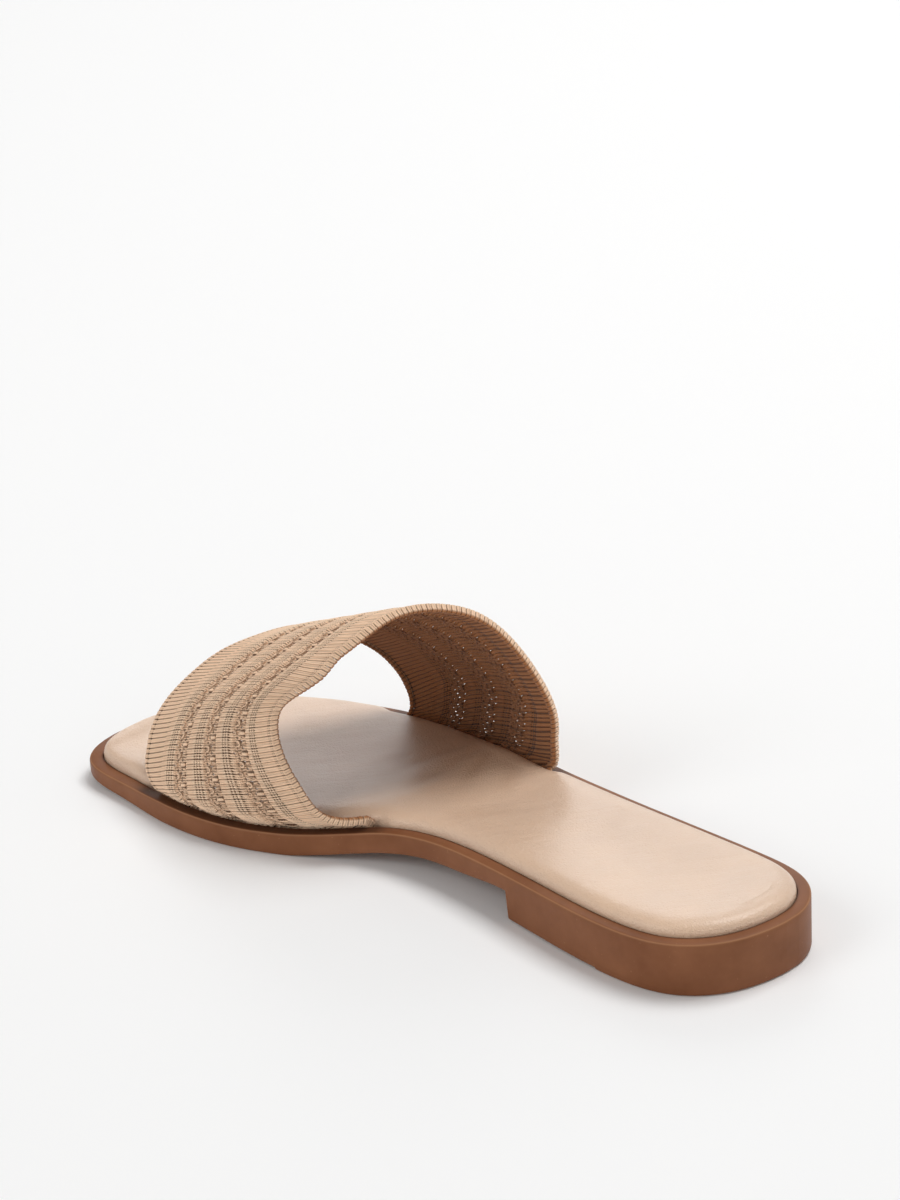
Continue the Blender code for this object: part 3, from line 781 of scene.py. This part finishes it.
def cloth_grid(shares):
    """The outer face: rows round the arch from the big-toe side, columns from front to back."""
    feet, outward = {}, {}
    for side in SIDES:
        feet[side], outward[side] = strap_foot(side, shares)
    bows = {side: (foot - (foot[0] + np.outer(shares, foot[-1] - foot[0]))) * (1, 1, 0)
            for side, foot in feet.items()}
    stand = np.array([0.0, 0.0, STRAP_STAND])
    rows, stations = [feet["medial"] + stand], [0.0]
    for around, *edges, bow in STRAP:
        rim = (1 - around) * feet["medial"][:, 2] + around * feet["lateral"][:, 2]
        back, front = (np.array([side * BALL_WIDTH / 2, (along - 0.5) * LENGTH,
                                 rim[end] + high * INSTEP_HEIGHT])
                       for end, (side, along, high) in ((-1, edges[:3]), (0, edges[3:])))
        near = "medial" if around < 0.5 else "lateral"
        rows.append(front + np.outer(shares, back - front) + bow * bows[near])
        stations.append(around)
    rows.append(feet["lateral"] + stand)
    stations.append(1.0)
    at = np.linspace(0, 1, ARCH_ROWS + 1)
    arch = smooth_curve(stations, np.array(rows).reshape(len(rows), -1), at)
    arch = arch.reshape(len(at), len(shares), 3)
    sag = (ease((at - SAG_GENTLE) / (SAG_PEAK - SAG_GENTLE))
           * ease((SAG_STEEP - at) / (SAG_STEEP - SAG_PEAK)))
    sag = np.outer(sag, ease((shares - SAG_SHARE) / (1 - SAG_SHARE)))
    arch[:, :, 1] -= SAG_BACK * sag
    arch[:, :, 2] -= SAG_DOWN * sag
    low = -(TRAY_DEPTH - CLEARANCE)
    steps = np.linspace(low, STRAP_STAND, FOOT_ROWS, endpoint=False)
    start = [feet["medial"] + np.array([0, 0, step]) for step in steps]
    end = [feet["lateral"] + np.array([0, 0, step]) for step in steps[::-1]]
    grid = np.concatenate([start, arch, end])
    for side, half in (("medial", slice(0, len(grid) // 2)),
                       ("lateral", slice(len(grid) // 2, None))):
        high = grid[half, :, 2] - feet[side][None, :, 2]
        swell = ease(high / BULGE_RISE) * (1 - ease((high - BULGE_RISE) / BULGE_FALL))
        grid[half] += BULGE * swell[:, :, None] * outward[side][None]
    return grid


# %% The cloth as a mesh
def grid_normals(grid):
    across, around = np.gradient(grid, axis=1), np.gradient(grid, axis=0)
    normal = np.cross(across, around)
    return normal / np.linalg.norm(normal, axis=2)[:, :, None]


def build_cloth():
    shares = np.linspace(0, 1, CLOTH_COLUMNS + 1)
    grid = cloth_grid(shares)
    normal = grid_normals(grid)
    run = np.concatenate([np.zeros((1, len(shares))),
                          np.cumsum(np.linalg.norm(np.diff(grid, axis=0), axis=2), axis=0)])
    round_way = run - run[len(grid) // 2] + CLOTH_SLANT * shares[None, :]
    rows, columns = grid.shape[:2]
    data = bpy.data.meshes.new("cloth_surface")
    faces = [(i * columns + k, i * columns + k + 1, (i + 1) * columns + k + 1,
              (i + 1) * columns + k) for i in range(rows - 1) for k in range(columns - 1)]
    data.from_pydata(grid.reshape(-1, 3).tolist(), [], faces)
    out = data.attributes.new("out", "FLOAT_VECTOR", "POINT")
    out.data.foreach_set("vector", normal.reshape(-1).astype(np.float32))
    around = np.clip((np.arange(rows) - FOOT_ROWS) / ARCH_ROWS, 0, 1)
    strength = np.interp(np.minimum(around, 1 - around), *DRIFT_ROUND)
    across_way = shares[None, :] - np.outer(strength, np.interp(shares, *DRIFT_ACROSS))
    place = np.column_stack([(round_way / CLOTH_REACH + 0.5).reshape(-1),
                             across_way.reshape(-1)])
    uv = data.uv_layers.new(name="cloth")
    corners = np.zeros(len(data.loops), np.int32)
    data.loops.foreach_get("vertex_index", corners)
    uv.data.foreach_set("uv", place[corners].reshape(-1).astype(np.float32))
    print("cloth runs from %.1f to %.1f mm round the arch"
          % (round_way.min() * 1000, round_way.max() * 1000))
    return add_object("cloth_surface", data)


cloth = build_cloth()

# %% [markdown]
# ## One repeat of the knitting
# The pattern repeats every eight fine ribs. In the plain bands two ribs lie close and read as
# one cord, before each lace the ribs part in columns of small holes, and in the lace they sink
# and spread into a net under raised loops and knots. One repeat is drawn flat, as round cords,
# with x round the arch in metres, y across as a share of the width and z out of the cloth.

# %% Bands of the pattern
FINE_RIB = 0.00081
REPEAT_RIBS = 8
REPEAT = FINE_RIB * REPEAT_RIBS
CLOTH_WIDTH = 0.069
SIDES_ROUND = 6
BANDS = (
    # name, end share from the front edge, share of STRAP_RAISE that it sinks
    ("hem", 0.030, 0.0), ("cord", 0.150, 0.3), ("fine", 0.255, 0.0), ("lace", 0.350, 1.0),
    ("fine", 0.465, 0.0), ("lace", 0.555, 1.0), ("fine", 0.665, 0.0), ("lace", 0.745, 1.0),
    ("fine", 0.825, 0.0), ("cord", 0.965, 0.3), ("hem", 1.000, 0.0),
)
BAND_BLEND = 0.008
HOLE_COLUMNS = (0.2105, 0.228, 0.2455, 0.4155, 0.433, 0.4505, 0.6065, 0.624, 0.6415,
                0.784, 0.801, 0.818)
FAINT_COLUMNS = (0.034, 0.935, 0.951)
HOLE_HALF, HOLE_BAND_HALF = 0.0044, 0.013
# Where a rib has rings: the step in plain bands, the number in a lace, places round a column
PLAIN_STEP, LACE_RINGS, CLOSEST_RINGS = 0.014, 21, 0.0020
HOLE_STEPS, FAINT_STEPS = (-0.0085, -0.0035, 0.0, 0.0035), (-0.006, 0.0, 0.006)
# Each lace starts where the band before it ends; the pattern moves on by a phase each time
LACE_PHASES = (0.0, 0.25, 0.5)
LACE = [(before[1], band[1]) for before, band in zip(BANDS, BANDS[1:]) if band[0] == "lace"]
LACE = [(*ends, phase) for ends, phase in zip(LACE, LACE_PHASES)]
# Eyelets of one lace: shares of the repeat round and of the lace across, their half length
# in metres, and how far the two ribs beside them part.
EYELETS = (
    (0.56, 0.89, 0.00044, 0.00050), (0.60, 0.54, 0.00040, 0.00050),
    (0.46, 0.14, 0.00040, 0.00046), (0.02, 0.46, 0.00036, 0.00044),
    (0.98, 0.07, 0.00036, 0.00040), (0.15, 0.93, 0.00036, 0.00042),
    (0.84, 0.90, 0.00036, 0.00042), (0.28, 0.60, 0.00036, 0.00040),
    (0.74, 0.28, 0.00036, 0.00040), (0.24, 0.24, 0.00032, 0.00036),
    (0.80, 0.58, 0.00032, 0.00036),
)


# %% Reading the bands
def band_weights(share):
    """For each band its kind, its depth and how much of it there is at a share across."""
    start = -1.0
    for kind, end, depth in BANDS:
        rise = ease((share - start) / BAND_BLEND + 0.5)
        fall = ease((end - share) / BAND_BLEND + 0.5) if end < 1 else 1.0
        yield kind, depth, rise * fall
        start = end


def band_mix(wanted, share):
    return np.max([weight for kind, _, weight in band_weights(share) if kind == wanted], axis=0)


def band_sink(share):
    return sum(depth * weight for _, depth, weight in band_weights(share)) * STRAP_RAISE


def column_mark(share, columns, half=HOLE_HALF):
    return np.max([np.exp(-((share - centre) / half) ** 2) for centre in columns], axis=0)


def rib_shares():
    """Shares across where a rib has a ring: few in plain bands, more at holes and in lace."""
    marks = list(np.arange(0.0, 1.0001, PLAIN_STEP))
    for start, end, _ in LACE:
        marks += list(np.linspace(start, end, LACE_RINGS))
    for columns, steps in ((HOLE_COLUMNS, HOLE_STEPS), (FAINT_COLUMNS, FAINT_STEPS)):
        marks += [centre + step for centre in columns for step in steps]
    kept = []
    for mark in sorted(marks):
        if not kept or mark - kept[-1] > CLOSEST_RINGS:
            kept.append(mark)
    return np.array(kept)


RIB_SHARES = rib_shares()
print("rings on a rib:", len(RIB_SHARES), "repeat:", round(REPEAT * 1000, 2), "mm")

# %% Cords of one repeat
EDGE_ROLL, EDGE_MARGIN = 0.00048, 0.0080
# The rolled edge: its angles, how far in its end lies, and how much painted underside shade
# each ring of it takes
ROLL_ANGLES, ROLL_END, ROLL_FLATTENED = (20, 45, 70, 95, 120, 150, 178), 0.032, 0.85
ROLL_UNDERSIDE_SHADE = (0, 0, 0, 0.6, 1, 1, 1, 1)
NET_RADIUS, CORD_RADIUS, RIB_RADIUS = 0.00045, 0.00053, 0.00053
RIB_HEIGHT = 0.00052
KNIT_LAYERS = ("shade", "underside_shade", "bead_highlight", "stitch")
# How much painted shade darkens the sides of a cord, alone and what a close neighbour adds: on
# the side away from that neighbour and on the side towards it
OPEN_GROOVE, SHUT_GROOVE = (0.76, 0.20), (0.64, -0.12)
# How far round an eyelet the ribs part, in metres, and the half width of its painted shade, in
# ribs
EYELET_REACH, EYELET_HALF = 0.0009, 0.62
# The ribs in metres: how they lean together, and how thin, low and deep they are at holes
PAIR_LEAN, FAINT_LEAN, HOLE_THINNING, FAINT_THINNING = 0.00009, 0.00007, 0.00037, 0.00022
BEAD_GROWTH, HOLE_SHRINKING, BEAD_RISE, HOLE_SINK = 0.00010, 0.00012, 0.00012, 0.00014
FAINT_SINK, EYELET_SINK = 0.00006, 0.00035


def add_tube(mesh, path, radius_side, radius_out, recess=0.0, bead_highlight=0.0, back=1.0, hole=0.0,
             paired=0.0, open_side=0, sides=SIDES_ROUND):
    """A round cord along a path in the flat cloth. Its painted shade is 0 on top and 1 on its
    sides; where two ribs lie close, only the open side towards the next pair is fully dark.
    At a hole both sides take full painted shade and at a recess the whole ring darkens with
    painted shade; its lower half takes painted underside shade and a raised bump's top half a
    painted highlight."""
    layers = [mesh.verts.layers.float[name] for name in KNIT_LAYERS]
    path = np.asarray(path, float)
    count = len(path)
    metric = path * (1, CLOTH_WIDTH, 1)
    along = np.gradient(metric, axis=0)
    along /= np.linalg.norm(along, axis=1)[:, None]
    run = np.concatenate([[0], np.cumsum(np.linalg.norm(np.diff(metric, axis=0), axis=1))])
    side = np.zeros_like(along)
    guide = np.array((1.0, 0, 0)) if abs(along[0][0]) < 0.7 else np.array((0, 1.0, 0))
    for i in range(count):
        guide = guide - along[i] * (guide @ along[i])
        guide = guide / np.linalg.norm(guide)
        side[i] = guide
    out = np.cross(side, along)
    radius_side, radius_out, recess, bead_highlight, back, hole, paired = (
        np.broadcast_to(value, (count,))
        for value in (radius_side, radius_out, recess, bead_highlight, back, hole, paired))
    loops = []
    for i in range(count):
        loop = []
        for k in range(sides):
            angle = 2 * math.pi * (k + 0.5) / sides
            reach = (side[i] * radius_side[i] * math.cos(angle)
                     + out[i] * radius_out[i] * math.sin(angle))
            vertex = mesh.verts.new((metric[i] + reach) / (1, CLOTH_WIDTH, 1))
            alone, added = OPEN_GROOVE if math.cos(angle) * open_side >= 0 else SHUT_GROOVE
            facing = max(hole[i], alone + added * paired[i])
            lower = float(reach[2] < 0)
            values = (max(facing * math.cos(angle) ** 2, recess[i]), back[i] * lower,
                      bead_highlight[i] * (1 - lower), run[i])
            for layer, value in zip(layers, values):
                vertex[layer] = value
            loop.append(vertex)
        loops.append(loop)
    for near, far in zip(loops, loops[1:]):
        for k in range(sides):
            after = (k + 1) % sides
            mesh.faces.new((near[k], near[after], far[after], far[k]))
    mesh.faces.new(loops[0][::-1])
    mesh.faces.new(loops[-1])


# %% Ribs
def part_ribs(x, share):
    """Push ribs aside round each eyelet; also says how close to an eyelet each point is."""
    moved, near = x.copy(), np.zeros(len(x))
    for start, end, phase in LACE:
        for around, local, half, parting in EYELETS:
            centre = start + local * (end - start)
            away = ((x / REPEAT - phase - around + 0.5) % 1.0 - 0.5) * REPEAT
            away = np.where(np.abs(away) < 1e-6, 1e-6, away)
            level = np.exp(-((share - centre) * CLOTH_WIDTH / half) ** 2)
            reach = np.exp(-np.maximum(np.abs(away) - FINE_RIB / 2, 0) / EYELET_REACH)
            moved = moved + np.sign(away) * parting * reach * level
            near = np.maximum(near, level * np.exp(-(away / (EYELET_HALF * FINE_RIB)) ** 2))
    return moved, near


def rib_path(number):
    """One rib of the repeat from the front edge to the back, as add_tube takes it."""
    share = RIB_SHARES
    towards = 1 if number % 2 == 0 else -1
    x = np.full(len(share), (number + 0.5) * FINE_RIB)
    cord, lace, hem = (band_mix(kind, share) for kind in ("cord", "lace", "hem"))
    holes, faint = column_mark(share, HOLE_COLUMNS), column_mark(share, FAINT_COLUMNS)
    bands_of_holes = column_mark(share, HOLE_COLUMNS, half=HOLE_BAND_HALF)
    plain = np.clip(1 - cord - lace, 0, 1)
    holes = holes * np.clip(1 - lace, 0, 1)
    x += towards * (PAIR_LEAN * (1 - lace) * (1 - holes) + FAINT_LEAN * faint)
    side = RIB_RADIUS + (CORD_RADIUS - RIB_RADIUS) * (cord + hem)
    side = side - HOLE_THINNING * holes - FAINT_THINNING * faint
    high = RIB_HEIGHT + (BEAD_GROWTH * bands_of_holes - HOLE_SHRINKING * holes) * plain
    x, recess = part_ribs(x, share)
    side = side + (NET_RADIUS - side) * lace
    high = high + (NET_RADIUS - high) * lace
    z = -band_sink(share) - high + (BEAD_RISE * bands_of_holes - HOLE_SINK * holes) * plain
    z = z - FAINT_SINK * faint - EYELET_SINK * recess * lace
    # Painted shade round eyelets and on rib sides at holes, in lace and at faint columns;
    # painted highlight on the bumps between hole columns
    return {"path": np.column_stack([x, share, z]), "radius_side": side, "radius_out": high,
            "recess": recess * lace, "bead_highlight": np.clip((bands_of_holes - holes) * plain, 0, 1),
            "back": np.ones(len(x)), "paired": np.clip(cord + hem, 0, 1),
            "hole": np.maximum(np.maximum(holes, 0.9 * lace), 0.9 * faint)}


def add_rolled_edge(rib, at_back):
    """Turn a rib's end under itself, as the knitted edge does."""
    path, roll = rib["path"], EDGE_ROLL / CLOTH_WIDTH
    begin = EDGE_MARGIN + roll
    x, z = path[-1 if at_back else 0, 0], path[0, 2]
    inner = [(x, begin - roll * math.sin(turn), z - EDGE_ROLL * (1 - math.cos(turn)))
             for turn in map(math.radians, ROLL_ANGLES)]
    inner.append((x, ROLL_END, z - 2 * EDGE_ROLL))
    keep = path[:, 1] > begin
    if at_back:
        inner = [(x, 1 - share, z) for x, share, z in inner]
        keep = path[:, 1] < 1 - begin
    rolled = {"radius_side": rib["radius_side"][0], "recess": 0.0, "bead_highlight": 0.0, "hole": 0.0,
              "radius_out": ROLL_FLATTENED * rib["radius_out"][0], "back": ROLL_UNDERSIDE_SHADE,
              "paired": 1.0}
    rolled = {name: np.broadcast_to(value, len(inner)) for name, value in rolled.items()}
    rolled["path"] = np.array(inner)
    if at_back:
        return {name: np.concatenate([rib[name][keep], rolled[name]]) for name in rib}
    return {name: np.concatenate([rolled[name][::-1], rib[name][keep]]) for name in rib}


def build_rib_tile():
    mesh = mesh_with_layers(*KNIT_LAYERS)
    for number in range(REPEAT_RIBS):
        rib = add_rolled_edge(add_rolled_edge(rib_path(number), at_back=False), at_back=True)
        add_tube(mesh, **rib, open_side=-1 if number % 2 == 0 else 1)
    return to_object("rib_repeat", mesh)


rib_tile = build_rib_tile()
print("triangles in one repeat of ribs:", 2 * len(rib_tile.data.polygons))

# %% Knots, loops and net of the lace
KNOT_LENGTH, KNOT_HALF, KNOT_HEIGHT = 0.0024, 0.00072, 0.00052
LOOP_RADIUS, LOOP_CORD = 0.00070, 0.00036
RING_RADIUS, RING_CORD = 0.00044, 0.00032
# Each lump or loop of one lace: shares of the repeat round and of the lace across
KNOT_PLACE, LOOP_PLACE, RING_PLACE = (0.0, 0.73), (0.46, 0.36), (0.98, 0.18)
LOOP_OPENING, RING_OPENING = 50, 25
KNOT_DEPTH, KNOT_DROOP, LOOP_DEPTH, LOOP_TILT = 0.00062, 0.00030, 0.00070, 0.00010
NET_ROWS = (0.07, 0.20, 0.36, 0.76, 0.90)
NET_CORD, NET_THICK, NET_WAVE = 0.00034, 0.00014, 0.0012
WEB_HALF, WEB_THICK, WEB_DEPTH = 0.0024, 0.00008, 1.2
WEB_ENDS = (0.03, 0.97)


def add_knot(mesh, x, share):
    """A rounded lump of yarn, a little longer across the strap than round it."""
    steps = np.linspace(-1, 1, 9)
    swell = np.sqrt(np.clip(1 - (np.abs(steps) * 0.96) ** 4, 0.03, 1))
    reach = KNOT_LENGTH / 2 / CLOTH_WIDTH
    path = np.column_stack([np.full(9, x), share + steps * reach,
                            -KNOT_DEPTH - KNOT_DROOP * np.abs(steps) ** 3])
    # Painted shade outlines the knot: full on its sides and growing towards its two ends
    add_tube(mesh, path, KNOT_HALF * swell, KNOT_HEIGHT * swell,
             recess=0.55 * np.abs(steps) ** 6, back=0.0, hole=1.0, sides=10)


def add_loop(mesh, x, share, radius, cord, opening):
    """A loop of yarn standing on the net, open towards the front edge by this half angle."""
    turn = np.radians(np.linspace(opening - 180, 180 - opening, 12))
    path = np.column_stack([x + radius * 1.1 * np.sin(turn),
                            share + radius * np.cos(turn) / CLOTH_WIDTH,
                            -LOOP_DEPTH + LOOP_TILT * np.cos(turn)])
    add_tube(mesh, path, cord, cord, back=0.0)


def add_band(mesh, share, z, half, thick, recess, points, wave=0.0, phase=0.0):
    """A flat stitch right round one repeat, in a wave or straight."""
    x = np.linspace(0, REPEAT, points)
    y = share + wave * np.sin(2 * math.pi * (x / REPEAT - phase))
    add_tube(mesh, np.column_stack([x, y, np.full(points, z)]), half, thick, recess=recess)


def build_lace_tile():
    mesh = mesh_with_layers(*KNIT_LAYERS)
    for start, end, phase in LACE:
        def place(around, across):
            return (phase + around) * REPEAT, start + across * (end - start)

        add_knot(mesh, *place(*KNOT_PLACE))
        add_loop(mesh, *place(*LOOP_PLACE), LOOP_RADIUS, LOOP_CORD, LOOP_OPENING)
        add_loop(mesh, *place(*RING_PLACE), RING_RADIUS, RING_CORD, RING_OPENING)
        # The net under each lace takes half painted shade
        for across in NET_ROWS:
            add_band(mesh, start + across * (end - start), -STRAP_RAISE - 1.4 * NET_RADIUS,
                     NET_CORD, NET_THICK, 0.5, 13, NET_WAVE, phase)
    # Flat stitches join the ribs halfway down their depth wherever there is no lace; they take
    # nearly full painted shade, so the gaps between the ribs read dark
    reach = WEB_HALF * math.cos(math.pi / SIDES_ROUND) / CLOTH_WIDTH
    edges = sorted([*WEB_ENDS] + [edge for start, end, _ in LACE for edge in (start, end)])
    for start, end in zip(edges[::2], edges[1::2]):
        count = math.ceil((end - start) / (1.9 * reach))
        for centre in np.linspace(start + reach, end - reach, count):
            add_band(mesh, centre, -band_sink(centre) - WEB_DEPTH * RIB_HEIGHT,
                     WEB_HALF, WEB_THICK, 0.95, 7)
    return to_object("lace_repeat", mesh)


lace_tile = build_lace_tile()
print("triangles in one repeat of lace:", 2 * len(lace_tile.data.polygons))

# %% [markdown]
# ## Yarn
# The yarn is a soft matt beige. Painted shade tints the sides of each cord, where little light
# reaches, a warm brown through the cords' own attribute, and their undersides a browner painted
# shade; raised bumps take a painted highlight, and a fine noise gives the yarn its fuzz.

# %% Yarn finish
YARN_TOP, YARN_BEAD_HIGHLIGHT = (0.94, 0.660, 0.455), (0.97, 0.75, 0.55)
YARN_SIDE, YARN_UNDERSIDE_SHADE = (0.100, 0.042, 0.018), (0.44, 0.195, 0.085)
STITCH = 0.00052


def yarn_finish():
    finish = Finish("strap_knit")
    mottle = finish.group(MOTTLE, Patches_per_Metre=120.0)
    turns = finish.math("MULTIPLY", finish.attribute("stitch"), 2 * math.pi / STITCH)
    wave = finish.math("SINE", turns)
    dash = finish.math("MULTIPLY_ADD", wave, 0.22, 1.25)
    shade = finish.math("POWER", finish.attribute("shade"), 1.6)
    # Painted highlight on the top of the raised bumps between hole columns
    colour = finish.mix(finish.attribute("bead_highlight"), YARN_TOP, YARN_BEAD_HIGHLIGHT)
    # Painted shade on the underside of each cord, which is the same yarn
    colour = finish.mix(finish.attribute("underside_shade"), colour, YARN_UNDERSIDE_SHADE)
    # Painted shade on the cords' sides, at holes and round eyelets, dashed along each stitch
    colour = finish.mix(finish.math("MULTIPLY", shade, dash, clamp=True), colour, YARN_SIDE)
    tone = finish.math("MULTIPLY_ADD", mottle["Cloud"], 0.20, 0.90)
    bright = finish.node("ShaderNodeHueSaturation", {"Value": tone, "Color": colour})
    ripple = finish.bump(wave, 0.00003, 1.0)
    finish.wire({"Base Color": bright["Color"], "Roughness": 0.85,
                 "Normal": finish.bump(mottle["Speck"], 0.00020, 0.8, before=ripple),
                 "Specular IOR Level": 0.12, "Sheen Weight": 0.14, "Sheen Roughness": 0.5})
    return finish.material


YARN = yarn_finish()

# %% [markdown]
# ## Laying the knitting on the strap
# Copying and bending every cord by hand would be slow, and a curve modifier can't follow a
# surface that bends two ways. A Geometry Nodes tree does it in one go: it places a row of
# repeats in the flat, looks each point up on the cloth surface by its flat coordinates, and
# moves it there and out along the surface's normal. Points beyond the trimmed ends are cut.


# %% Geometry Nodes tree
WRAP_INPUTS = (("Repeat", "Object"), ("Cloth", "Object"), ("Repeats", "Int"),
               ("First", "Float"), ("Pitch", "Float"), ("Reach", "Float"),
               ("Yarn", "Material"))


def build_wrap_tree():
    tree = bpy.data.node_groups.new("knit_on_surface", "GeometryNodeTree")
    sockets = {label: tree.interface.new_socket(label, in_out="INPUT",
                                                socket_type="NodeSocket" + kind).identifier
               for label, kind in WRAP_INPUTS}
    tree.interface.new_socket("Geometry", in_out="OUTPUT", socket_type="NodeSocketGeometry")

    def node(kind, inputs=(), **settings):
        return add_node(tree, kind, inputs, **settings)

    # A row of repeats in the flat
    into = node("NodeGroupInput")
    line = node("GeometryNodeMeshLine",
                {"Count": into["Repeats"],
                 "Start Location": node("ShaderNodeCombineXYZ", {"X": into["First"]})[0],
                 "Offset": node("ShaderNodeCombineXYZ", {"X": into["Pitch"]})[0]})
    tile = node("GeometryNodeObjectInfo", {"Object": into["Repeat"]})
    copies = node("GeometryNodeInstanceOnPoints",
                  {"Points": line["Mesh"], "Instance": tile["Geometry"]})
    flat = node("GeometryNodeRealizeInstances", {"Geometry": copies["Instances"]})
    # The flat place of each point, as the cloth's own coordinates
    parts = node("ShaderNodeSeparateXYZ", {0: node("GeometryNodeInputPosition")[0]})
    share = node("ShaderNodeMath", {0: parts["X"], 1: into["Reach"]}, operation="DIVIDE")
    centred = node("ShaderNodeMath", {0: share[0], 1: 0.5}, operation="ADD")
    where = node("ShaderNodeCombineXYZ", {"X": centred[0], "Y": parts["Y"]})
    # The point and the normal of the cloth there; points beyond the cloth are cut
    surface = node("GeometryNodeObjectInfo", {"Object": into["Cloth"]})["Geometry"]
    uv, normal = (node("GeometryNodeInputNamedAttribute", {"Name": name},
                       data_type="FLOAT_VECTOR")["Attribute"] for name in ("cloth", "out"))
    point, out = (node("GeometryNodeSampleUVSurface",
                       {"Mesh": surface, "Value": value, "UV Map": uv, "Sample UV": where[0]},
                       data_type="FLOAT_VECTOR")
                  for value in (node("GeometryNodeInputPosition")[0], normal))
    beyond = node("FunctionNodeBooleanMath", {0: point["Is Valid"]}, operation="NOT")
    trimmed = node("GeometryNodeDeleteGeometry",
                   {"Geometry": flat["Geometry"], "Selection": beyond[0]}, domain="POINT")
    unit = node("ShaderNodeVectorMath", {0: out["Value"]}, operation="NORMALIZE")
    raised = node("ShaderNodeVectorMath", {0: unit[0], "Scale": parts["Z"]}, operation="SCALE")
    final = node("ShaderNodeVectorMath", {0: point["Value"], 1: raised[0]}, operation="ADD")
    moved = node("GeometryNodeSetPosition",
                 {"Geometry": trimmed["Geometry"], "Position": final[0]})
    real = node("GeometryNodeRealizeInstances", {"Geometry": moved["Geometry"]})
    dressed = node("GeometryNodeSetMaterial",
                   {"Geometry": real["Geometry"], "Material": into["Yarn"]})
    fill_inputs(tree, tree.nodes.new("NodeGroupOutput"), {0: dressed["Geometry"]})
    return tree, sockets


WRAP_TREE, WRAP_SOCKETS = build_wrap_tree()
print("nodes in the wrapping tree:", len(WRAP_TREE.nodes))


# %% Laying a run of repeats
def close_rims(mesh):
    """Fill the cut ends of the cords; a rim that crosses itself is trimmed back first."""
    for _ in range(6):
        pinched = [vertex for vertex in mesh.verts
                   if sum(edge.is_boundary for edge in vertex.link_edges) > 2]
        bmesh.ops.delete(mesh, geom=pinched, context="VERTS")
        stray = [vertex for vertex in mesh.verts if not vertex.link_faces]
        bmesh.ops.delete(mesh, geom=stray, context="VERTS")
        if pinched:
            continue
        rims = [edge for edge in mesh.edges if edge.is_boundary]
        bmesh.ops.holes_fill(mesh, edges=rims, sides=0)
        torn = {vertex for edge in mesh.edges if not edge.is_manifold for vertex in edge.verts}
        if not torn:
            return
        bmesh.ops.delete(mesh, geom=list(torn), context="VERTS")


def lay_knitting(name, tile, first, repeats):
    """Wrap a run of repeats onto the cloth surface and return it as a plain closed mesh."""
    carrier = add_object(name + "_carrier", bpy.data.meshes.new(name + "_carrier"))
    modifier = carrier.modifiers.new("wrap", "NODES")
    modifier.node_group = WRAP_TREE
    for label, value in (("Repeat", tile), ("Cloth", cloth), ("Repeats", repeats),
                         ("First", first), ("Pitch", REPEAT), ("Reach", CLOTH_REACH),
                         ("Yarn", YARN)):
        modifier[WRAP_SOCKETS[label]] = value
    scene_state = bpy.context.evaluated_depsgraph_get()
    data = bpy.data.meshes.new_from_object(carrier.evaluated_get(scene_state))
    data.name = name
    bpy.data.objects.remove(carrier, do_unlink=True)
    mesh = bmesh.new()
    mesh.from_mesh(data)
    loose = [vertex for vertex in mesh.verts if not vertex.link_faces]
    bmesh.ops.delete(mesh, geom=loose, context="VERTS")
    close_rims(mesh)
    bmesh.ops.recalc_face_normals(mesh, faces=mesh.faces)
    mesh.to_mesh(data)
    left_open = sum(1 for edge in mesh.edges if not edge.is_manifold)
    mesh.free()
    data.shade_smooth()
    triangles = sum(len(face.vertices) - 2 for face in data.polygons)
    print(name, "triangles:", triangles, "open edges:", left_open)
    return add_object(name, data)


# %% The knitted strap
# Where the pattern starts on the cloth, and for each run of ribs its first repeat and length
PATTERN_START = -0.05984 - 8 * REPEAT
RUNS = (("knit_ribs_medial", 0, 10), ("knit_ribs_crown_medial", 10, 7),
        ("knit_ribs_crown_lateral", 17, 7), ("knit_ribs_lateral", 24, 9))
LACE_REPEATS = 33
knitting = [lay_knitting(name, rib_tile, PATTERN_START + number * REPEAT, repeats)
            for name, number, repeats in RUNS]
knitting.append(lay_knitting("knit_lace", lace_tile, PATTERN_START, LACE_REPEATS))
for piece in knitting:
    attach(piece, "root")
    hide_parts("strap")
for helper in (cloth, rib_tile, lace_tile):
    bpy.data.objects.remove(helper, do_unlink=True)
